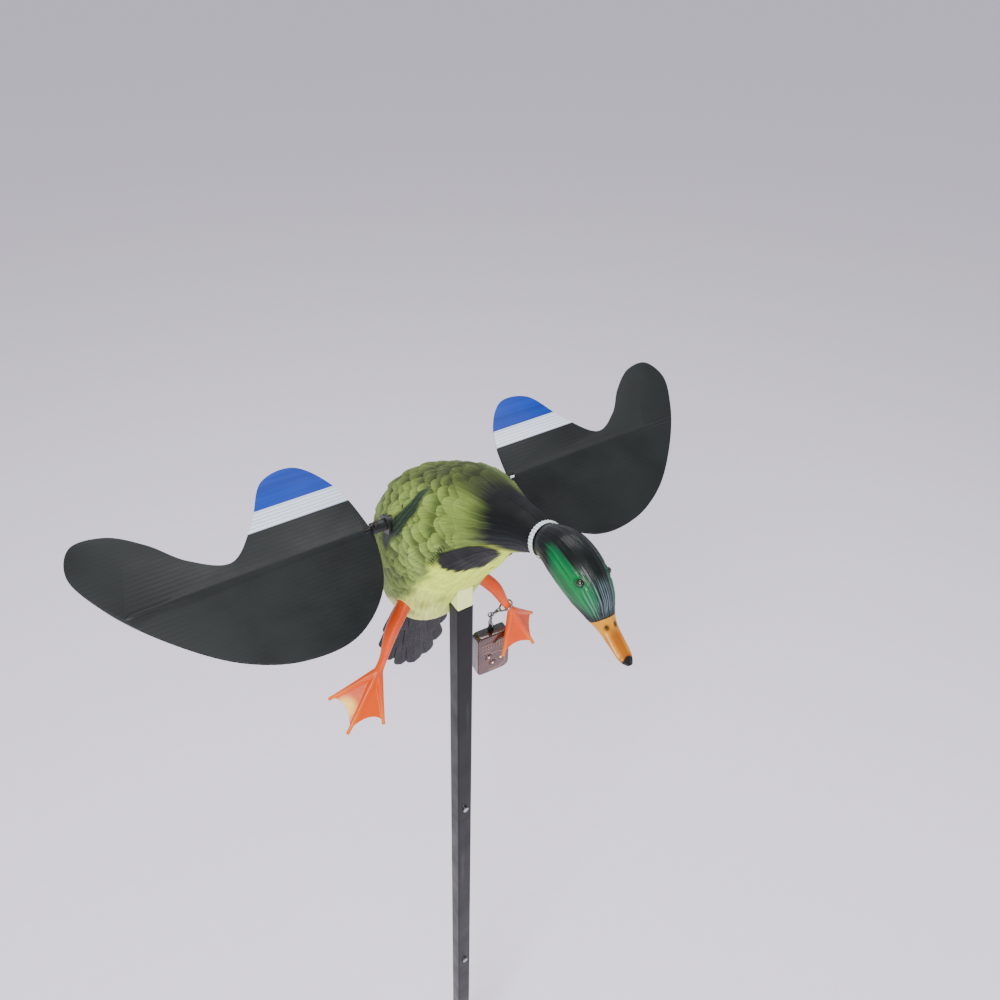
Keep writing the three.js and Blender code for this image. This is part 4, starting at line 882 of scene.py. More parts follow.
def body_fields(loft):
    s, a = loft.s, loft.off_back
    sign = np.where(loft.angle > 180, -1, 1)
    u = sign * np.radians(a) * loft.radius
    line = streaks(s, a, 2.1, 11)
    height, tip, across, lift = scales(s + 6 * wobble(a, 26, 3), u, 21, 15, 5)
    band_d, band_t = line_distance(s, a, SLATE_BAND)
    comb_d, comb_t = line_distance(s, a, COMB)
    reach = 8.0 - 4.2 * abs(2 * band_t - 1) ** 3
    band = 1 - smoothstep(-2.4, 2.4, band_d - reach + 1.3 * wobble(s, 5, 31) + 0.8 * line)
    breast = smoothstep(-3.5, 3.5, patch(s, a, BREAST) + 3.5 * line)
    belly_edge = np.interp(s, [60, 142, 155, 172, 235, 278, 300, 345], [112, 120, 125, 129, 132, 117, 96, 84])
    belly = smoothstep(-6, 7, a - belly_edge + 3.5 * line + 2 * wobble(s, 9, 17))
    edge = np.interp(a, [0, 38, 71, 102, 121, 141, 180], [74, 62, 54, 60, 44, 26, 22])
    neck = 1 - smoothstep(-14, 30, s - edge + 6 * line + 3 * wobble(a, 9, 23))
    plumed = smoothstep(78, 108, s + 8 * wobble(a, 14, 41)) * (1 - smoothstep(-4, 6, a - belly_edge + 4))
    plumed *= (1 - 0.85 * band) * (1 - breast) * (1 - smoothstep(335, 352, s))

    relief = plumed * (2.4 * height * (1 + 0.35 * lift) - 0.9)
    relief += 0.14 * line * (1 - 0.7 * plumed)
    relief += band * (1.3 + 0.25 * np.sin(band_d * 1.9)) * (1 - smoothstep(0.85, 1.0, band_t))
    below = bell(comb_d - 1.2, 2.2) * smoothstep(0, 0.1, comb_t) * (1 - smoothstep(0.92, 1, comb_t))
    relief -= 1.9 * below * (0.72 + 0.28 * np.sin(s * 1.9))
    relief += 1.1 * bell(comb_d - 6, 3.2) * (a < 112 + (s - 106) * 0.35) * plumed
    relief += 0.5 * breast * (0.6 + 0.4 * line)
    relief += 0.45 * wobble(s + 9 * wobble(u, 30, 51), 26, 52) * smoothstep(70, 120, s)
    relief *= smoothstep(0, 30, s)

    # Painted shade and highlight: each feather is darkened towards its root, where the feather above shades
    # it, and lightened towards its tip.
    flank, root = (140, 164, 76), (56, 74, 28)
    shown = smoothstep(0.22, 0.9, tip) * plumed + 0.7 * (1 - plumed)
    colour = blend(root, flank, np.clip(0.12 + 0.8 * shown + 0.12 * lift, 0, 1))
    olive = blend((34, 42, 16), (92, 108, 46), shown)
    colour = blend(colour, olive, 0.8 * (1 - smoothstep(20, 58, a + 8 * wobble(s, 22, 61))))
    # Painted highlight along each feather's tip edges.
    rim = smoothstep(0.86, 0.97, np.maximum(tip, abs(across))) * plumed
    colour = blend(colour, (182, 200, 112), 0.3 * rim)
    mottle = 0.62 + 0.25 * wobble(s + 12 * wobble(u, 18, 74), 17, 71) + 0.2 * line
    stripe = (1 - smoothstep(8, 44, a + 6 * line)) * smoothstep(52, 70, s) * (1 - smoothstep(130, 185, s))
    colour = blend(colour, (18, 19, 12), np.clip(stripe * mottle, 0, 0.9))
    shaded = smoothstep(14, 4, abs(a - 62) + 0.03 * abs(s - 250)) * smoothstep(225, 260, s) * 0.35
    colour = blend(colour, (96, 118, 54), shaded)
    pale = blend((228, 252, 78), (242, 252, 136), smoothstep(180, 300, s))
    pale = blend(pale, (168, 194, 54), 0.4 * (0.5 + 0.5 * line))
    # Darker green patches low on the rear of the belly, on both sides.
    dark_patches = np.zeros(s.shape)
    for at, round_, size in ((265, 146, 20), (244, 160, 17), (300, 132, 15)):
        dark_patches = np.maximum(dark_patches, np.exp(-(((s - at) / size) ** 2) - ((a - round_) / (0.8 * size)) ** 2))
    pale = blend(pale, (104, 134, 30), 0.8 * dark_patches * (0.7 + 0.3 * line))
    colour = blend(colour, pale, belly)
    slate = blend((4, 5, 7), (24, 32, 36), smoothstep(35, 100, a) * (0.5 + 0.5 * line))
    colour = blend(colour, blend((3, 4, 5), (22, 26, 26), 0.5 + 0.5 * line), breast)
    colour = blend(colour, slate, neck)
    band_tone = blend((16, 26, 24), (44, 62, 50), 0.5 + 0.5 * np.sin(band_d * 1.9))
    colour = blend(colour, band_tone, band * 0.96)
    # Painted shade: the crevice below the flank's overhanging edge, along the comb line, is darkened.
    crevice_shade = bell(comb_d, 3.4) * smoothstep(0, 0.08, comb_t) * (1 - smoothstep(0.94, 1, comb_t))
    crevice_shade *= 0.6 + 0.4 * np.sign(np.sin(s * 1.5 + 3 * comb_t))
    colour = blend(colour, (24, 28, 24), np.clip(crevice_shade, 0, 0.92))
    barb = plumed * (tip * 21 - 0.85 * abs(across) * 9)
    fields = {"barb": barb, "flow": flow_along(loft, 42), "inner": linear((128, 148, 78))}
    return relief, {**fields, "paint": colour}


SUNK = 0.45  # how far the body's skin lies inside its loft
body_loft = Loft(BODY_STATIONS, 350, 400, BODY_POWER)
body_relief, body_paint = body_fields(body_loft)
body_skin = body_loft.skin(body_relief - SUNK)
body_outer = tube("body_outer", body_skin)
body_tree = lookup_tree(body_skin)
body_inner = tube("body_inner", Loft(BODY_STATIONS, 90, 96, BODY_POWER, inset=WALL + 0.6, to=0.985).grid)


def hatch_block(grow):
    outline = rounded_rectangle(HATCH_WIDTH + 2 * grow, HATCH_LENGTH + 2 * grow, HATCH_CORNER + grow, 8)
    return prism(outline, -22, 28, HATCH_FRAME)


def pin_hole():
    return cylinder("x", PIN + 0.3, 44, (0, 0, HINGE_RISE), HINGE_FRAME)


body_tools = [
    hatch_block(0.5),
    cylinder("x", 7.3, 160, AXLE),
    block((POLE_SIDE + 2, POLE_SIDE + 2, 60), (0, 0, AXLE[2] - 85)),
    block((13.6, 20.1, 40), (0, 0, 0), SWITCH_FRAME),
    cylinder("x", BARREL + 0.5, 26, (0, 0, HINGE_RISE), HINGE_FRAME),
    block((26, 8, 6), (0, -4, HINGE_RISE), HINGE_FRAME),
    sphere(AXLE + (0, -165, 74), 12.2),
    *[cylinder("z", 3.1, 24, (0, 0, 0), at) for at in BELLY_FRAMES],
    *[cylinder("x", 2.8, 24, AXLE + (side * 59.7, -13, 24)) for side in (LEFT, RIGHT)],
    *[limb(shank_points(*LEGS[name][:3]), SHANK_RADII + 0.4) for name in LEGS],
]
lid = copy_of(body_outer, "hatch_lid")
boolean(body_outer, body_inner, keep_tool=True)
for tool in body_tools:
    boolean(body_outer, tool)
for side, name in SIDES:
    half = copy_of(body_outer, f"shell_{name}")
    boolean(half, block((200, 500, 500), (side * 100.15, AXLE[1], AXLE[2])), "INTERSECT")
    ear = cylinder("x", BARREL, 8, (side * 17, 0, HINGE_RISE), HINGE_FRAME)
    boolean(ear, block((8, 4, 3.4), (side * 17, 1.2, HINGE_RISE - 1.8), HINGE_FRAME), "UNION")
    boolean(ear, pin_hole())
    boolean(half, ear, "UNION")
    dress(half, body_tree, body_paint)
    finish_piece(half, PLUMAGE, "duck", "shell_green", f"body_shell_{name}")
bpy.data.objects.remove(body_outer)

boolean(lid, hatch_block(0), "INTERSECT")
boolean(lid, body_inner)
for part in (
    cylinder("x", BARREL, 25, (0, 0, HINGE_RISE), HINGE_FRAME),
    block((25, 6, 2), (0, -3.4, HINGE_RISE - 1), HINGE_FRAME),
    bevelled(block((18, 3, 3.4), (0, 0, 0.6), LIP_FRAME), 0.6),
):
    boolean(lid, part, "UNION")
boolean(lid, pin_hole())
dress(lid, body_tree, body_paint)
finish_piece(lid, PLUMAGE, "battery_hatch", "shell_green", "battery_hatch")


# ---- neck ring, head, bill, eyes
EMERALD = [(22, 50), (25, 76), (31, 101), (47, 119), (63, 97), (75, 74), (73, 34), (62, 24), (50, 30),
           (36, 46), (27, 46)]
EYE = AXLE + (0, -226.5, 83.5)
NOSTRIL = AXLE + (0, -250, 54)


def nearer_side(loft, middle, out):
    """Distance from the nearer of two points, each so far out from a middle."""
    points = [middle + (side * out, 0, 0) for side in (LEFT, RIGHT)]
    return np.minimum(*[np.linalg.norm(loft.grid - point, axis=2) for point in points])


def head_fields(loft):
    s, a = loft.s, loft.off_back
    line = streaks(s, a, 4.4, 81)
    fine = streaks(s, a, 2.0, 91)
    eye = nearer_side(loft, EYE, 14.5)
    on_bill = smoothstep(74, 84, s)
    relief = (0.2 * line + 0.2 * fine) * (1 - on_bill) * smoothstep(2, 20, s)
    crown = smoothstep(52, 62, s) * (1 - smoothstep(56, 76, a))
    relief += 0.3 * crown * fine * (1 - on_bill)
    relief += 0.22 * bell(eye - 3.6, 0.8) - 0.35 * bell(eye - 5.8, 1.4)
    relief += 0.35 * on_bill * bell(a, 18)
    relief -= 0.4 * on_bill * bell(a - 108, 7) * (1 - smoothstep(108, 114, s))
    relief += 0.7 * smoothstep(109, 112, s) * (1 - smoothstep(40, 70, a))
    patch_d = patch(s, a, EMERALD)
    green = smoothstep(-5, 5, patch_d + 3 * line)
    dark = blend((3, 6, 6), (8, 18, 16), 0.5 + 0.5 * line)
    emerald = blend((0, 66, 34), (2, 134, 66), np.clip(0.5 + 0.5 * line + 0.2 * fine, 0, 1))
    emerald = blend(emerald, (8, 70, 46), smoothstep(12, 2, patch_d) * 0.6)
    colour = blend(dark, emerald, green)
    # Painted sheen: grey-blue streaks over the crown stand for the light reflected on the glossy head.
    crown_sheen = crown * smoothstep(0.05, 0.5, fine) * (1 - on_bill)
    colour = blend(colour, (112, 138, 148), 0.7 * crown_sheen)
    colour = blend(colour, (8, 30, 22), bell(eye - 3.4, 0.8) * 0.6)
    yellow = blend((206, 142, 6), (182, 108, 2), 0.5 + 0.5 * wobble(s, 4, 101))
    ridge = (1 - smoothstep(14, 44, a)) * smoothstep(82, 96, s)
    yellow = blend(yellow, (140, 66, 4), 0.75 * ridge)
    yellow = blend(yellow, (150, 96, 30), 0.5 * bell(a - 108, 6))
    nostril = nearer_side(loft, NOSTRIL, 4.4)
    yellow = blend(yellow, (44, 34, 24), 0.8 * np.exp(-((nostril / 2.6) ** 4)))
    speck = smoothstep(0.72, 0.9, wobble(s * 1.3 + a * 0.7, 1.6, 103) * wobble(a - s, 3.1, 104))
    yellow = blend(yellow, (96, 62, 24), 0.6 * speck)
    nail = smoothstep(111.5, 113, s + 2.0 * (1 - smoothstep(0, 60, a)) - 1)
    yellow = blend(yellow, (18, 18, 20), nail)
    both = {"barb": np.zeros(s.shape), "flow": flow_along(loft, 20), "inner": linear((30, 50, 44))}
    return relief, {**both, "paint": colour}, {**both, "paint": yellow}


head_loft = Loft(HEAD_STATIONS, 300, 300)
tip_round = np.sqrt(np.clip(1 - ((head_loft.s - 114) / 4.6).clip(0, 1) ** 2, 0.01, 1))[..., None]
tip_middle = head_loft.grid.mean(1)[:, None]
head_loft.grid = tip_middle + (head_loft.grid - tip_middle) * tip_round
head_relief, head_paint, bill_paint = head_fields(head_loft)
head_skin = head_loft.skin(head_relief - 0.3)
head_outer = tube("head_feathered", head_skin)
head_tree = lookup_tree(head_skin)
bill_frame = pitched(AXLE + (0, -240, 54), 138)
bill = copy_of(head_outer, "bill_whole")
boolean(head_outer, tube("head_inner", Loft(HEAD_STATIONS, 40, 60, inset=WALL + 0.4, to=0.5).grid))
boolean(head_outer, sphere(AXLE + (0, -167.5, 75), 12))
boolean(head_outer, block((80, 80, 80), (0, 0, 39.7), bill_frame))
for side in (LEFT, RIGHT):
    boolean(head_outer, sphere(EYE + (side * 12.9, 0, 0), 3.05))
dress(head_outer, head_tree, head_paint)
finish_piece(head_outer, HEAD_PAINT, "duck", "head_green", "head_shell")
boolean(bill, block((80, 80, 80), (0, 0, 40), bill_frame), "INTERSECT")
for side in (LEFT, RIGHT):
    boolean(bill, sphere(NOSTRIL + (side * 3.8, 0, 0), 1.5, (0.8, 2.0, 1)))
dress(bill, head_tree, bill_paint)
finish_piece(bill, BILL_PAINT, "duck", "bill_yellow", "bill")

for side, name in SIDES:
    eye = sphere(EYE + (side * 12.9, 0, 0), 2.75, name=f"glass_eye_{name}", rings=32, sides=48)
    away = np.linalg.norm((positions(eye) - (EYE + (side * 15.6, 0, 0))) * (0.3, 1, 1), axis=1)
    paint(eye, blend((6, 7, 8), (84, 58, 34), bell(away - 1.9, 0.4) * 0.7))
    finish_piece(eye, painted(f"eye_gloss_{name}", 0.06, 1.0, 0.01), "duck", "eye_black", f"eye_{name}")


def neck_ring():
    """A ribbed collar with rounded edges."""
    sides, steps = 288, 20
    a = round_angles(sides)
    t = round_angles(steps)
    rib = 0.22 * np.cos(a * 36)
    z = 2.5 * signed_power(np.sin(t), 0.55)
    r = 15.6 + 0.68 * signed_power(np.cos(t), 0.55)
    outward = (np.cos(t) > 0)[None] * rib[:, None]
    radius = r[None] + outward - 0.05
    x, y = radius * np.cos(a)[:, None], radius * np.sin(a)[:, None]
    local = np.stack([x, y, np.repeat(z[None], sides, 0)], -1)
    made = hoop("collar_ribbed", local, pitched(AXLE + (0, -167.6, 74.8), 72))
    # Painted shade: the grooves between the ribs are darkened to blue-grey.
    groove_shade = np.clip((0.5 - 0.5 * rib / 0.22)[:, None] * np.ones(steps), 0, 1).ravel()
    paint(made, blend((232, 238, 240), (128, 150, 160), 0.75 * groove_shade))
    finish_piece(made, RING_PAINT, "duck", "ring_white", "neck_ring")


neck_ring()


# ---- tail
def feather(matrix, root_half, half, reach, low, high, seed):
    """One tail feather: a cambered vane with a shaft, barbs and a rounded tip."""
    rows, columns = 90, 64
    v = np.linspace(0, 1, rows) ** 0.9
    length = reach + half
    y = v * length
    body = root_half + (half - root_half) * np.clip(y / reach, 0, 1)
    cap = np.sqrt(np.clip(1 - (np.clip(y - reach, 0, None) / half) ** 2, 0, 1))
    width = np.maximum(body * cap, 0.25)
    width = width * (1 + 0.02 * wobble(y, 5, seed))
    a = round_angles(columns)
    across = np.cos(a)[None]
    x = across * width[:, None]
    middle, thick = (low + high) / 2, (high - low) / 2
    shell = thick * (0.75 + 0.25 * cap[:, None]) * signed_power(np.sin(a), 0.5)
    shell = shell * (0.8 - 0.25 * across**2)
    barbs = y[:, None] - 0.9 * abs(x)
    shell += np.sign(np.sin(a)) * (0.2 * bell(x, 0.8) + 0.04 * np.sin(barbs * 2.4))
    rings = np.stack([x, np.repeat(y[:, None], columns, 1), middle + shell], -1)
    made = tube("feather", rings, matrix)
    store(made, "barb", np.append(barbs.ravel(), (0, barbs[-1].mean())))
    edge = np.clip(np.maximum(abs(across) * np.ones(x.shape), (y / length)[:, None] ** 6), 0, 1) ** 8
    tone = blend((7, 8, 11), (30, 34, 40), 0.5 * edge)
    tone = np.vstack([tone.reshape(-1, 3), tone[0].mean(0), tone[-1].mean(0)])
    paint(made, tone)
    flow = np.stack([barbs, x * 0.5, 0 * x + seed], -1).reshape(-1, 3)
    return store_flow(made, np.vstack([flow, flow[:1], flow[-1:]]))


def tail():
    root = pitched(AXLE + (0, 60, -146), -84)
    plumes = []
    # Each layer: feathers, middle length, how much shorter at the sides, spread, half-widths, underside, top.
    layers = [(7, 158, 42, 20, 11.5, 7, 1.2, 3.0), (8, 124, 34, 24, 9.5, 6, 0.7, 2.0),
              (7, 92, 22, 24, 9.5, 6, 0.1, 1.5)]
    for layer, (count, length, shorter, spread, half, root_half, low, high) in enumerate(layers):
        middle = (count - 1) / 2
        for k in range(count):
            off = (k - middle) / middle
            matrix = root @ pitched((0, 0, 0), 0, -spread * off)
            matrix = moved(matrix, 0, 0, 1.1 * abs(k - middle) * 3 / middle)
            reach = length - shorter * off**2 - half
            plumes.append(feather(matrix, root_half, half, reach, low, high, 10 * layer + k))
    fan = joined("tail_plumes", plumes)
    return finish_piece(creased(fan, 60), TAIL_PAINT, "duck", "tail_black", "tail_fan")


tail()


# ---- legs
def leg(name):
    side, hip, ankle, tips = LEGS[name]
    ankle_at = np.array(ankle, float) + AXLE
    toes = [np.array(tip, float) + AXLE for tip in tips]
    normal = np.cross(toes[0] - ankle_at, toes[2] - ankle_at)
    normal = unit(normal)
    parts = [limb(shank_points(side, hip, ankle), SHANK_RADII)]
    parts.append(sphere(ankle_at, 5.2))
    for tip in toes:
        knuckle = ankle_at + 0.55 * (tip - ankle_at)
        parts.append(limb([ankle_at, knuckle, tip], [4.6, 2.9, 1.9], across=normal))
        parts.append(sphere(tip - 0.4 * (tip - knuckle) / np.linalg.norm(tip - knuckle), 2.1))
    t = np.linspace(0, 1, 17)[:, None]
    for a, b in ((toes[0], toes[1]), (toes[1], toes[2])):
        a, b = a + 0.06 * (ankle_at - a), b + 0.06 * (ankle_at - b)
        pull = a + 0.5 * (b - a)
        pull = pull + 0.26 * (ankle_at - pull)
        rim = (1 - t) ** 2 * a + 2 * t * (1 - t) * pull + t**2 * b
        flat = np.cross(a - ankle_at, b - ankle_at)
        flat = unit(flat)
        face = np.vstack([ankle_at, rim])
        parts.append(slab("web", face - 0.95 * flat, face + 0.95 * flat))
    made = remeshed(joined(f"leg_smooth_{name}", parts), 0.62, 5)
    co = positions(made)
    to_toe = np.full(len(co), 99.0)
    for tip in toes:
        edge = tip - ankle_at
        k = np.clip((co - ankle_at) @ edge / (edge @ edge), 0, 1)
        to_toe = np.minimum(to_toe, np.linalg.norm(co - ankle_at - k[:, None] * edge, axis=1))
    foot = smoothstep(6, -2, (co - ankle_at) @ unit(np.subtract(hip, ankle)))
    colour = blend((216, 80, 0), (202, 64, 0), 0.5 + 0.5 * wobble(co[:, 2], 17, 111))
    colour = blend(colour, (232, 128, 2), 0.6 * foot * (1 - smoothstep(1.2, 3.4, to_toe)))
    seam = abs((co - ankle_at) @ np.array([0.3, 1, 0]))
    colour = blend(colour, (216, 52, 0), 0.4 * bell(seam, 0.8) * (1 - foot))
    web_middle = (ankle_at + toes[0] + toes[1]) / 3 + 0.15 * (toes[0] + toes[1] - 2 * ankle_at) / 2
    if side == RIGHT:
        away = np.linalg.norm(co - web_middle, axis=1)
        lit = 0.85 * foot * smoothstep(15, 5, away) * smoothstep(2.5, 4, to_toe)
        colour = blend(colour, (250, 206, 80), lit)
    paint(made, colour)
    finish_piece(made, GLOSSY_PAINT, "duck", "leg_orange", f"leg_{name}")


for name in ("left", "right"):
    leg(name)


# ---- wings
WING_FRAME = pitched(AXLE, 24)
WING_OUTLINE = [
    (80, 6), (93, 56), (122, 90), (155, 86), (180, 45), (208, 16), (242, 32), (270, 60), (300, 80), (328, 81),
    (337, 57), (317, 15), (278, -32), (229, -73), (182, -92), (133, -91), (94, -60), (79, -10),
]
FLUTE = 4.4
ROD_IN = (86, 306)  # the pocket over the rod, measured out from the axle's middle


def wing(side, name):
    points = np.array([(side * x, y) for x, y in WING_OUTLINE], float)
    sheet = prism(closed_curve(points, 20 * len(points)), -1.5, 1.5, WING_FRAME, f"wing_board_{name}")
    bevelled(sheet, 0.25, 2, 50)
    channels = []
    for k in range(-24, 25):
        y = (k + 0.5) * FLUTE
        if abs(y) > 14:
            channels.append(block((300, FLUTE - 0.7, 1.9), (side * 210, y, 0), WING_FRAME))
    boolean(sheet, joined("channels", channels))
    x = np.linspace(*ROD_IN, 60)
    ends = np.clip(np.minimum(x - ROD_IN[0], ROD_IN[1] - x) / 7, 0.02, 1) ** 0.5
    ends[:20] = np.maximum(ends[:20], 0.9)
    ends = ends[:, None]
    a = round_angles(40)
    broad = 1 - smoothstep(240, 282, x)[:, None]
    pocket_y = ends * np.cos(a) * (3.8 + 10.2 * broad)
    pocket_z = ends * (2.9 * signed_power(np.sin(a), 1.0 + 5 * broad))
    rings = np.stack([np.repeat(side * x[:, None], 40, 1), pocket_y, pocket_z], -1)
    boolean(sheet, tube("pocket", rings, WING_FRAME), "UNION")
    boolean(sheet, cylinder("x", 2.3, 240, (side * 180.3, 0, 0), WING_FRAME))
    local = place(np.linalg.inv(WING_FRAME), positions(sheet))
    store(sheet, "chord", local[:, 1])
    store(sheet, "span", abs(local[:, 0]))
    finish_piece(creased(sheet, 30), BOARD, "wing_set", "wing_sheet", f"wing_{name}")


for side, name in SIDES:
    wing(side, name)


# ---- remote and its clasp
FOB_FRAME = pitched((57.209, 28.102, 743.929), 0, -4)
FOB_FACE = frame_from(FOB_FRAME[:3, 3], FOB_FRAME[:3, 0], (0, 0, 1), -FOB_FRAME[:3, 1])
FOB_WIDTH, FOB_HEIGHT = 41, 58
CLASP_FRAME = frame_from((74.56, 23.92, 808.28), (0.33282, 0.94299, 0), (0.80086, -0.28266, 0.52795),
                         (0.49785, -0.17571, -0.84928))
CLASP_HOLE, CLASP_OUTER, CLASP_TAIL, CLASP_EYE = 5.7, 7.4, 16.5, 21.5


def fob_outline(inset):
    width, height, less = FOB_WIDTH - 2 * inset, FOB_HEIGHT - 2 * inset, 0.6 * inset
    return rounded_rectangle(width, height, 5 - less, 8, 9 - less)


def remote():
    cover = bevelled(prism(fob_outline(0), -4, 7, FOB_FACE, "cover_smoked"), 1.5, 5, 50)
    boolean(cover, block((80, 80, 20), (0, 0, 10.6), FOB_FACE), "INTERSECT")
    boolean(cover, prism(fob_outline(1.6), -1, 5.4, FOB_FACE))
    for x, y, r in ((-6.5, -4, 4.6), (-1.5, -14.5, 4.6), (9.5, -11, 1.8)):
        boolean(cover, cylinder("z", r, 20, (x, y, 8), FOB_FACE))
    ledge = bevelled(block((36, 0.9, 1.2), (0, 19.4, 6.7), FOB_FACE), 0.3)
    boolean(cover, ledge, "UNION")
    for y in (10.5, -1.2):
        boolean(cover, block((30, 0.5, 0.9), (2, y + 3, 7.0), FOB_FACE))
    finish_piece(creased(cover, 40), smoked(), "remote", "smoked_brown", "remote_front_cover")
    marks = []
    for row in range(3):
        for k in range(9):
            dot = place(FOB_FACE, [((k - 4) * 3.5, 16 - 3.1 * row, 6.85)])[0]
            marks.append(sphere(dot, 0.55, rings=8, sides=12))
    path = [(-15, 4.5), (-8, 4.5), (-3, 1.5), (6, 1.5), (13, -2.5), (14.5, -9), (14.5, -20), (9, -24),
            (-6, -24)]
    line = np.array([(x, y, 6.95) for x, y in path])
    for a, b in zip(line, line[1:]):
        t = np.linspace(0, 1, 6)[:, None]
        marks.append(wire(place(FOB_FACE, a + (b - a) * t), 0.28, steps=8, sides=8))
        marks.append(sphere(place(FOB_FACE, [b])[0], 0.3, rings=8, sides=8))
    dots = joined("cover_marks", marks)
    finish_piece(dots, moulded("cover_print", (196, 150, 128), 0.3), "remote", "smoked_brown")
    for name, x, y in (("call", -6.5, -4), ("stop", -1.5, -14.5)):
        profile = [(4.0, 4.3), (6.9, 4.3), (7.5, 4.1), (7.8, 3.6), (7.9, 2.4), (7.6, 1.9), (7.6, 0.4)]
        cap = turned_profile(profile, "z", (x, y, 0), 64, FOB_FACE, f"cap_{name}")
        button = f"remote_button_{name}"
        plastic = moulded(f"cap_{name}_plastic", (64, 22, 18), 0.18, coat=0.5)
        finish_piece(cap, plastic, button, "remote_black", button)
        bars = [(1.9, 0.5, k) for k in (-0.9, 0, 0.9)] if name == "call" else [(1.9, 1.9, 0)]
        bars = [block((w, h, 0.3), (x, y + k, 7.7), FOB_FACE) for w, h, k in bars]
        sign = bevelled(joined(f"sign_{name}", bars), 0.08, 2)
        lit = glowing(f"sign_{name}_light", (236, 40, 36), (255, 190, 170), 2.2)
        finish_piece(sign, lit, button, "led_amber")
    profile = [(1.8, 1.45), (6.9, 1.45), (7.25, 1.2), (7.4, 0.6)]
    lens = turned_profile(profile, "z", (9.5, -11, 0), 40, FOB_FACE, "led_lens")
    finish_piece(lens, glowing("led_lens_light", (226, 150, 40), (255, 220, 130), 0.8), "remote", "led_amber",
                 "remote_led")
    profile = [(-34.2, 0.3), (-34.0, 1.0), (-33.3, 1.65), (-32.2, 1.95), (-31.2, 1.9), (-30.4, 1.5),
               (-30.1, 1.0), (-30.0, 1.3), (-29.0, 1.3), (-28.9, 1.0), (13.9, 1.0)]
    rod_frame = moved(FOB_FRAME, -16.2, 3.4, 0)
    profile = [(z + 0.3 if z < 0 else z, r) for z, r in profile]
    aerial = turned_profile(profile, "z", (0, 0, 0), 40, rod_frame, "aerial")
    finish_piece(creased(aerial, 40), STEEL, "remote_antenna", "steel", "remote_antenna")


def oval(name, centre, a, b, half_a, half_b, radius):
    """A flat closed wire. Its side stays out of its plane, so that its last section meets its first."""
    turn = round_angles(24)[:, None]
    points = np.array(centre) + np.array(a) * half_a * np.cos(turn) + np.array(b) * half_b * np.sin(turn)
    line = closed_curve(points, 120)
    along = unit(np.roll(line, -1, 0) - np.roll(line, 1, 0))
    side = np.repeat(np.linalg.svd(line - line.mean(0))[2][2][None], len(line), 0)
    return hoop(name, swept(line, side, np.cross(along, side), radius, 20))


def level(degrees):
    return np.array([np.cos(np.radians(degrees)), np.sin(np.radians(degrees)), 0])


def clasp():
    turn = np.radians(np.linspace(46, 218, 40))
    hook = [(6.5 * np.cos(a), 6.5 * np.sin(a), 0) for a in turn]
    hook += [(-4.2, -6.4, 0), (-2.6, -9.5, 0)]
    side = [(6.0, -5.9, 0), (4.4, -7.4, 0), (2.4, -9.5, 0)]
    parts = [
        wire(place(CLASP_FRAME, hook), 1.0),
        wire(place(CLASP_FRAME, side), 1.15, steps=40),
        limb(place(CLASP_FRAME, [(0, -8.2, 0), (0, -12, 0), (0, -16.4, 0)]), [3.1, 2.7, 2.1], flatten=0.5,
             across=CLASP_FRAME[:3, 2]),
        sphere(place(CLASP_FRAME, [hook[0]])[0], 1.15),
    ]
    body = remeshed(joined("clasp_cast", parts), 0.24, 4)
    boolean(body, cylinder("y", 1.5, 8, (0, -CLASP_TAIL + 1, 0), CLASP_FRAME))
    boolean(body, block((4.2, 3, 5), (0, -CLASP_TAIL + 5, 0), CLASP_FRAME))
    finish_piece(body, GUNMETAL, "clasp", "zinc", "clasp_body")
    bar = [(6.35, -4.6, 0), (6.7, -2.5, 0), (6.8, 0, 0), (6.6, 2.2, 0), (6.1, 3.9, 0)]
    thumb = [(6.8, -2.6, 0), (8.4, -2.6, 0), (10.6, -2.2, 0)]
    parts = [wire(place(CLASP_FRAME, bar), 0.75, steps=60),
             wire(place(CLASP_FRAME, thumb), np.linspace(0.7, 1.0, 30), steps=30),
             cylinder("z", 0.9, 2.6, (6.35, -4.3, 0), CLASP_FRAME)]
    lever = remeshed(joined("gate_lever", parts), 0.2, 3)
    finish_piece(lever, GUNMETAL, "clasp_lever", "zinc", "clasp_lever")
    eye = place(CLASP_FRAME, [(0, -CLASP_EYE, 0)])[0]
    profile = [(-18.4, 1.2), (-13.0, 1.2), (-12.6, 1.2), (-12.5, 1.9), (-11.6, 1.9), (-11.4, 1.6)]
    post = turned_profile(profile, "y", (0, 0, 0), 40, CLASP_FRAME, "post")
    ring = oval("swivel_wire", eye, CLASP_FRAME[:3, 1], CLASP_FRAME[:3, 2], 3.1, 3.1, 0.85)
    finish_piece(joined("swivel_wire", [ring, post]), GUNMETAL, "swivel", "zinc", "swivel_eye")
    ring = oval("split_ring_wire", (eye[0], eye[1], 790.329), level(46), (0, 0, 1), 5.9, 5.6, 0.95)
    finish_piece(ring, GUNMETAL, "key_ring", "zinc", "key_ring")
    link = oval("link_wire", (eye[0], eye[1], 781.779), level(100), (0, 0, 1), 3, 5, 0.8)
    finish_piece(link, GUNMETAL, "key_link", "zinc", "key_link")


remote()
clasp()


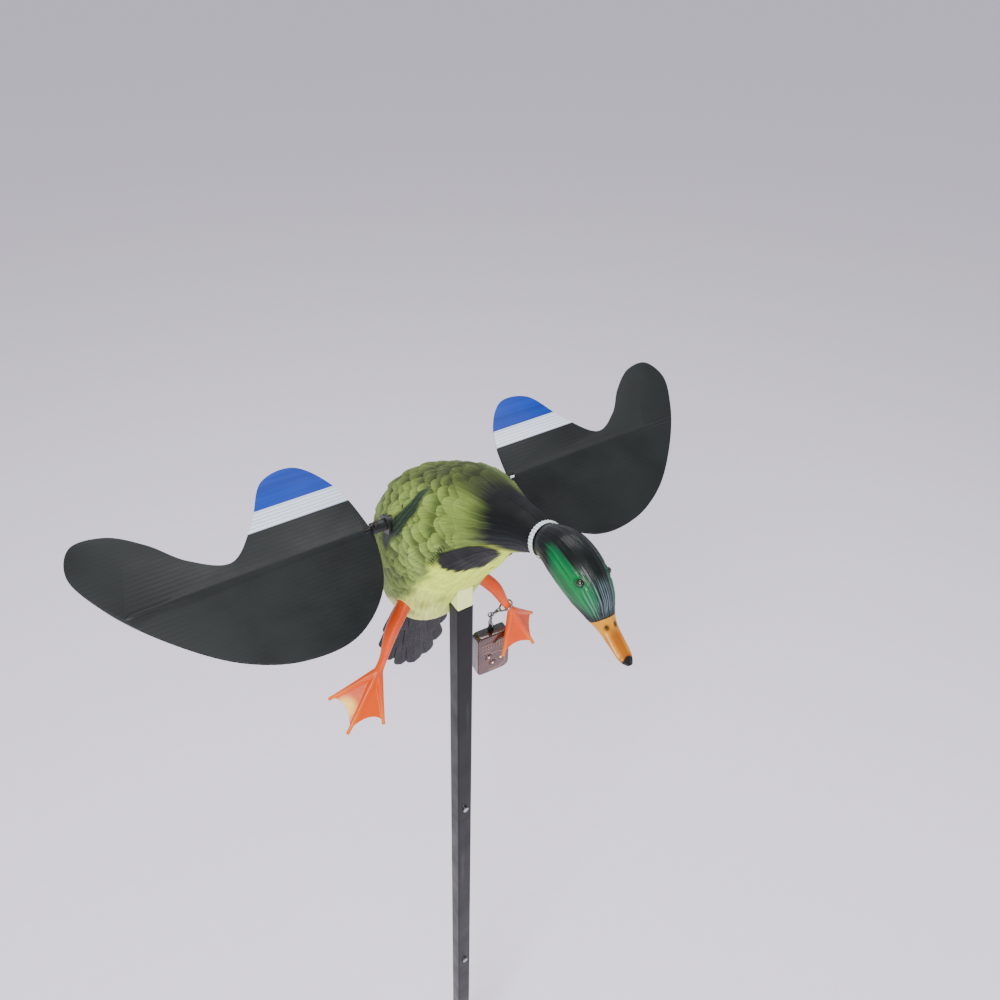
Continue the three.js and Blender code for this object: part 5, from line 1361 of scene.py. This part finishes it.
# ---- the CAD pieces that are shown as they are
CIRCUIT, CELL_SKIN, POLE_COAT = circuit(), cell_skin(), powder_coated()
SHOWN_AS_BUILT = {
    POLE_COAT: ["pole_lower", "pole_middle", "pole_upper"],
    ZINC: ["snap_button_upper", "snap_button_lower", "motor_can"],
    PALE_GREEN: ["pole_boss"],
    BLACK: ["bush_left", "bush_right", "wing_hub_left", "wing_hub_right", "chassis", "battery_box",
            "switch_housing"],
    BLACKED: ["hub_screw_left", "hub_screw_right", "belly_screw_front", "belly_screw_rear",
              "flank_screw_left", "flank_screw_right", "wing_rod_right"],
    STEEL: ["wing_axle", "wing_rod_left", "hatch_pin", "remote_cell"],
    BRASS: ["motor_pinion"],
    NATURAL_NYLON: ["drive_gear"],
    CIRCUIT: ["receiver_board", "remote_board"],
    CELL_SKIN: ["cell_1", "cell_2", "cell_3", "cell_4"],
    GLOSS_BLACK: ["power_rocker", "remote_back_shell"],
}
for look, names in SHOWN_AS_BUILT.items():
    for name in names:
        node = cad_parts[name]
        wear(node, look)
        creased(node, 32)


# ---- stage
def area_light(name, place_at, size, power, aim, tint=(1, 1, 1)):
    light = bpy.data.lights.new(name, "AREA")
    light.shape = "RECTANGLE"
    light.size, light.size_y = size
    light.energy = power
    light.color = tint
    made = linked(name, light)
    made.location = place_at
    made.rotation_euler = (Vector(aim) - Vector(place_at)).to_track_quat("-Z", "Y").to_euler()


def stage():
    wide, low = 90000, -203
    corners = [(-wide, -wide, low), (wide, -wide, low), (wide, wide, low), (-wide, wide, low)]
    floor = mesh_object("floor", corners, [(0, 1, 2, 3)], smooth=False)
    look = Look("floor_paper", (226, 222, 230), 0.75)
    grain = look.noise(30, 3)
    look.colour(look.mixed(grain, (248, 238, 255), (252, 244, 255))).bump(grain, 0.05, 0.2)
    floor.data.materials.append(look.material)
    world = bpy.data.worlds.new("studio")
    world.use_nodes = True
    background = world.node_tree.nodes["Background"]
    background.inputs["Color"].default_value = (0.93, 0.95, 1.0, 1)
    background.inputs["Strength"].default_value = 0.7
    bpy.context.scene.world = world
    area_light("key", (-1.9, -1.5, 2.9), (1.2, 1.2), 125, (0, 0, 0.9))
    area_light("fill", (1.7, -2.0, 1.3), (1.6, 1.6), 24, (0, 0, 0.85), (0.94, 0.96, 1))
    area_light("low", (-0.7, -1.7, 0.3), (1.0, 1.0), 16, (0, 0, 0.9))
    area_light("top", (0.3, 0.9, 2.9), (1.6, 1.0), 30, (0, 0, 0.9))


def camera():
    forward = Vector((0.446, 0.742, -0.5))
    right = Vector((0.857, -0.515, 0))
    up = right.cross(forward)
    lens = bpy.data.cameras.new("camera")
    lens.lens = 29.3
    lens.shift_x, lens.shift_y = 0.039, -0.112
    made = linked("camera", lens)
    turn = Matrix((right, up, -forward)).transposed().to_4x4()
    turn.translation = (-0.3161, -0.5257, 1.4791)
    made.matrix_world = turn
    bpy.context.scene.camera = made


stage()
camera()
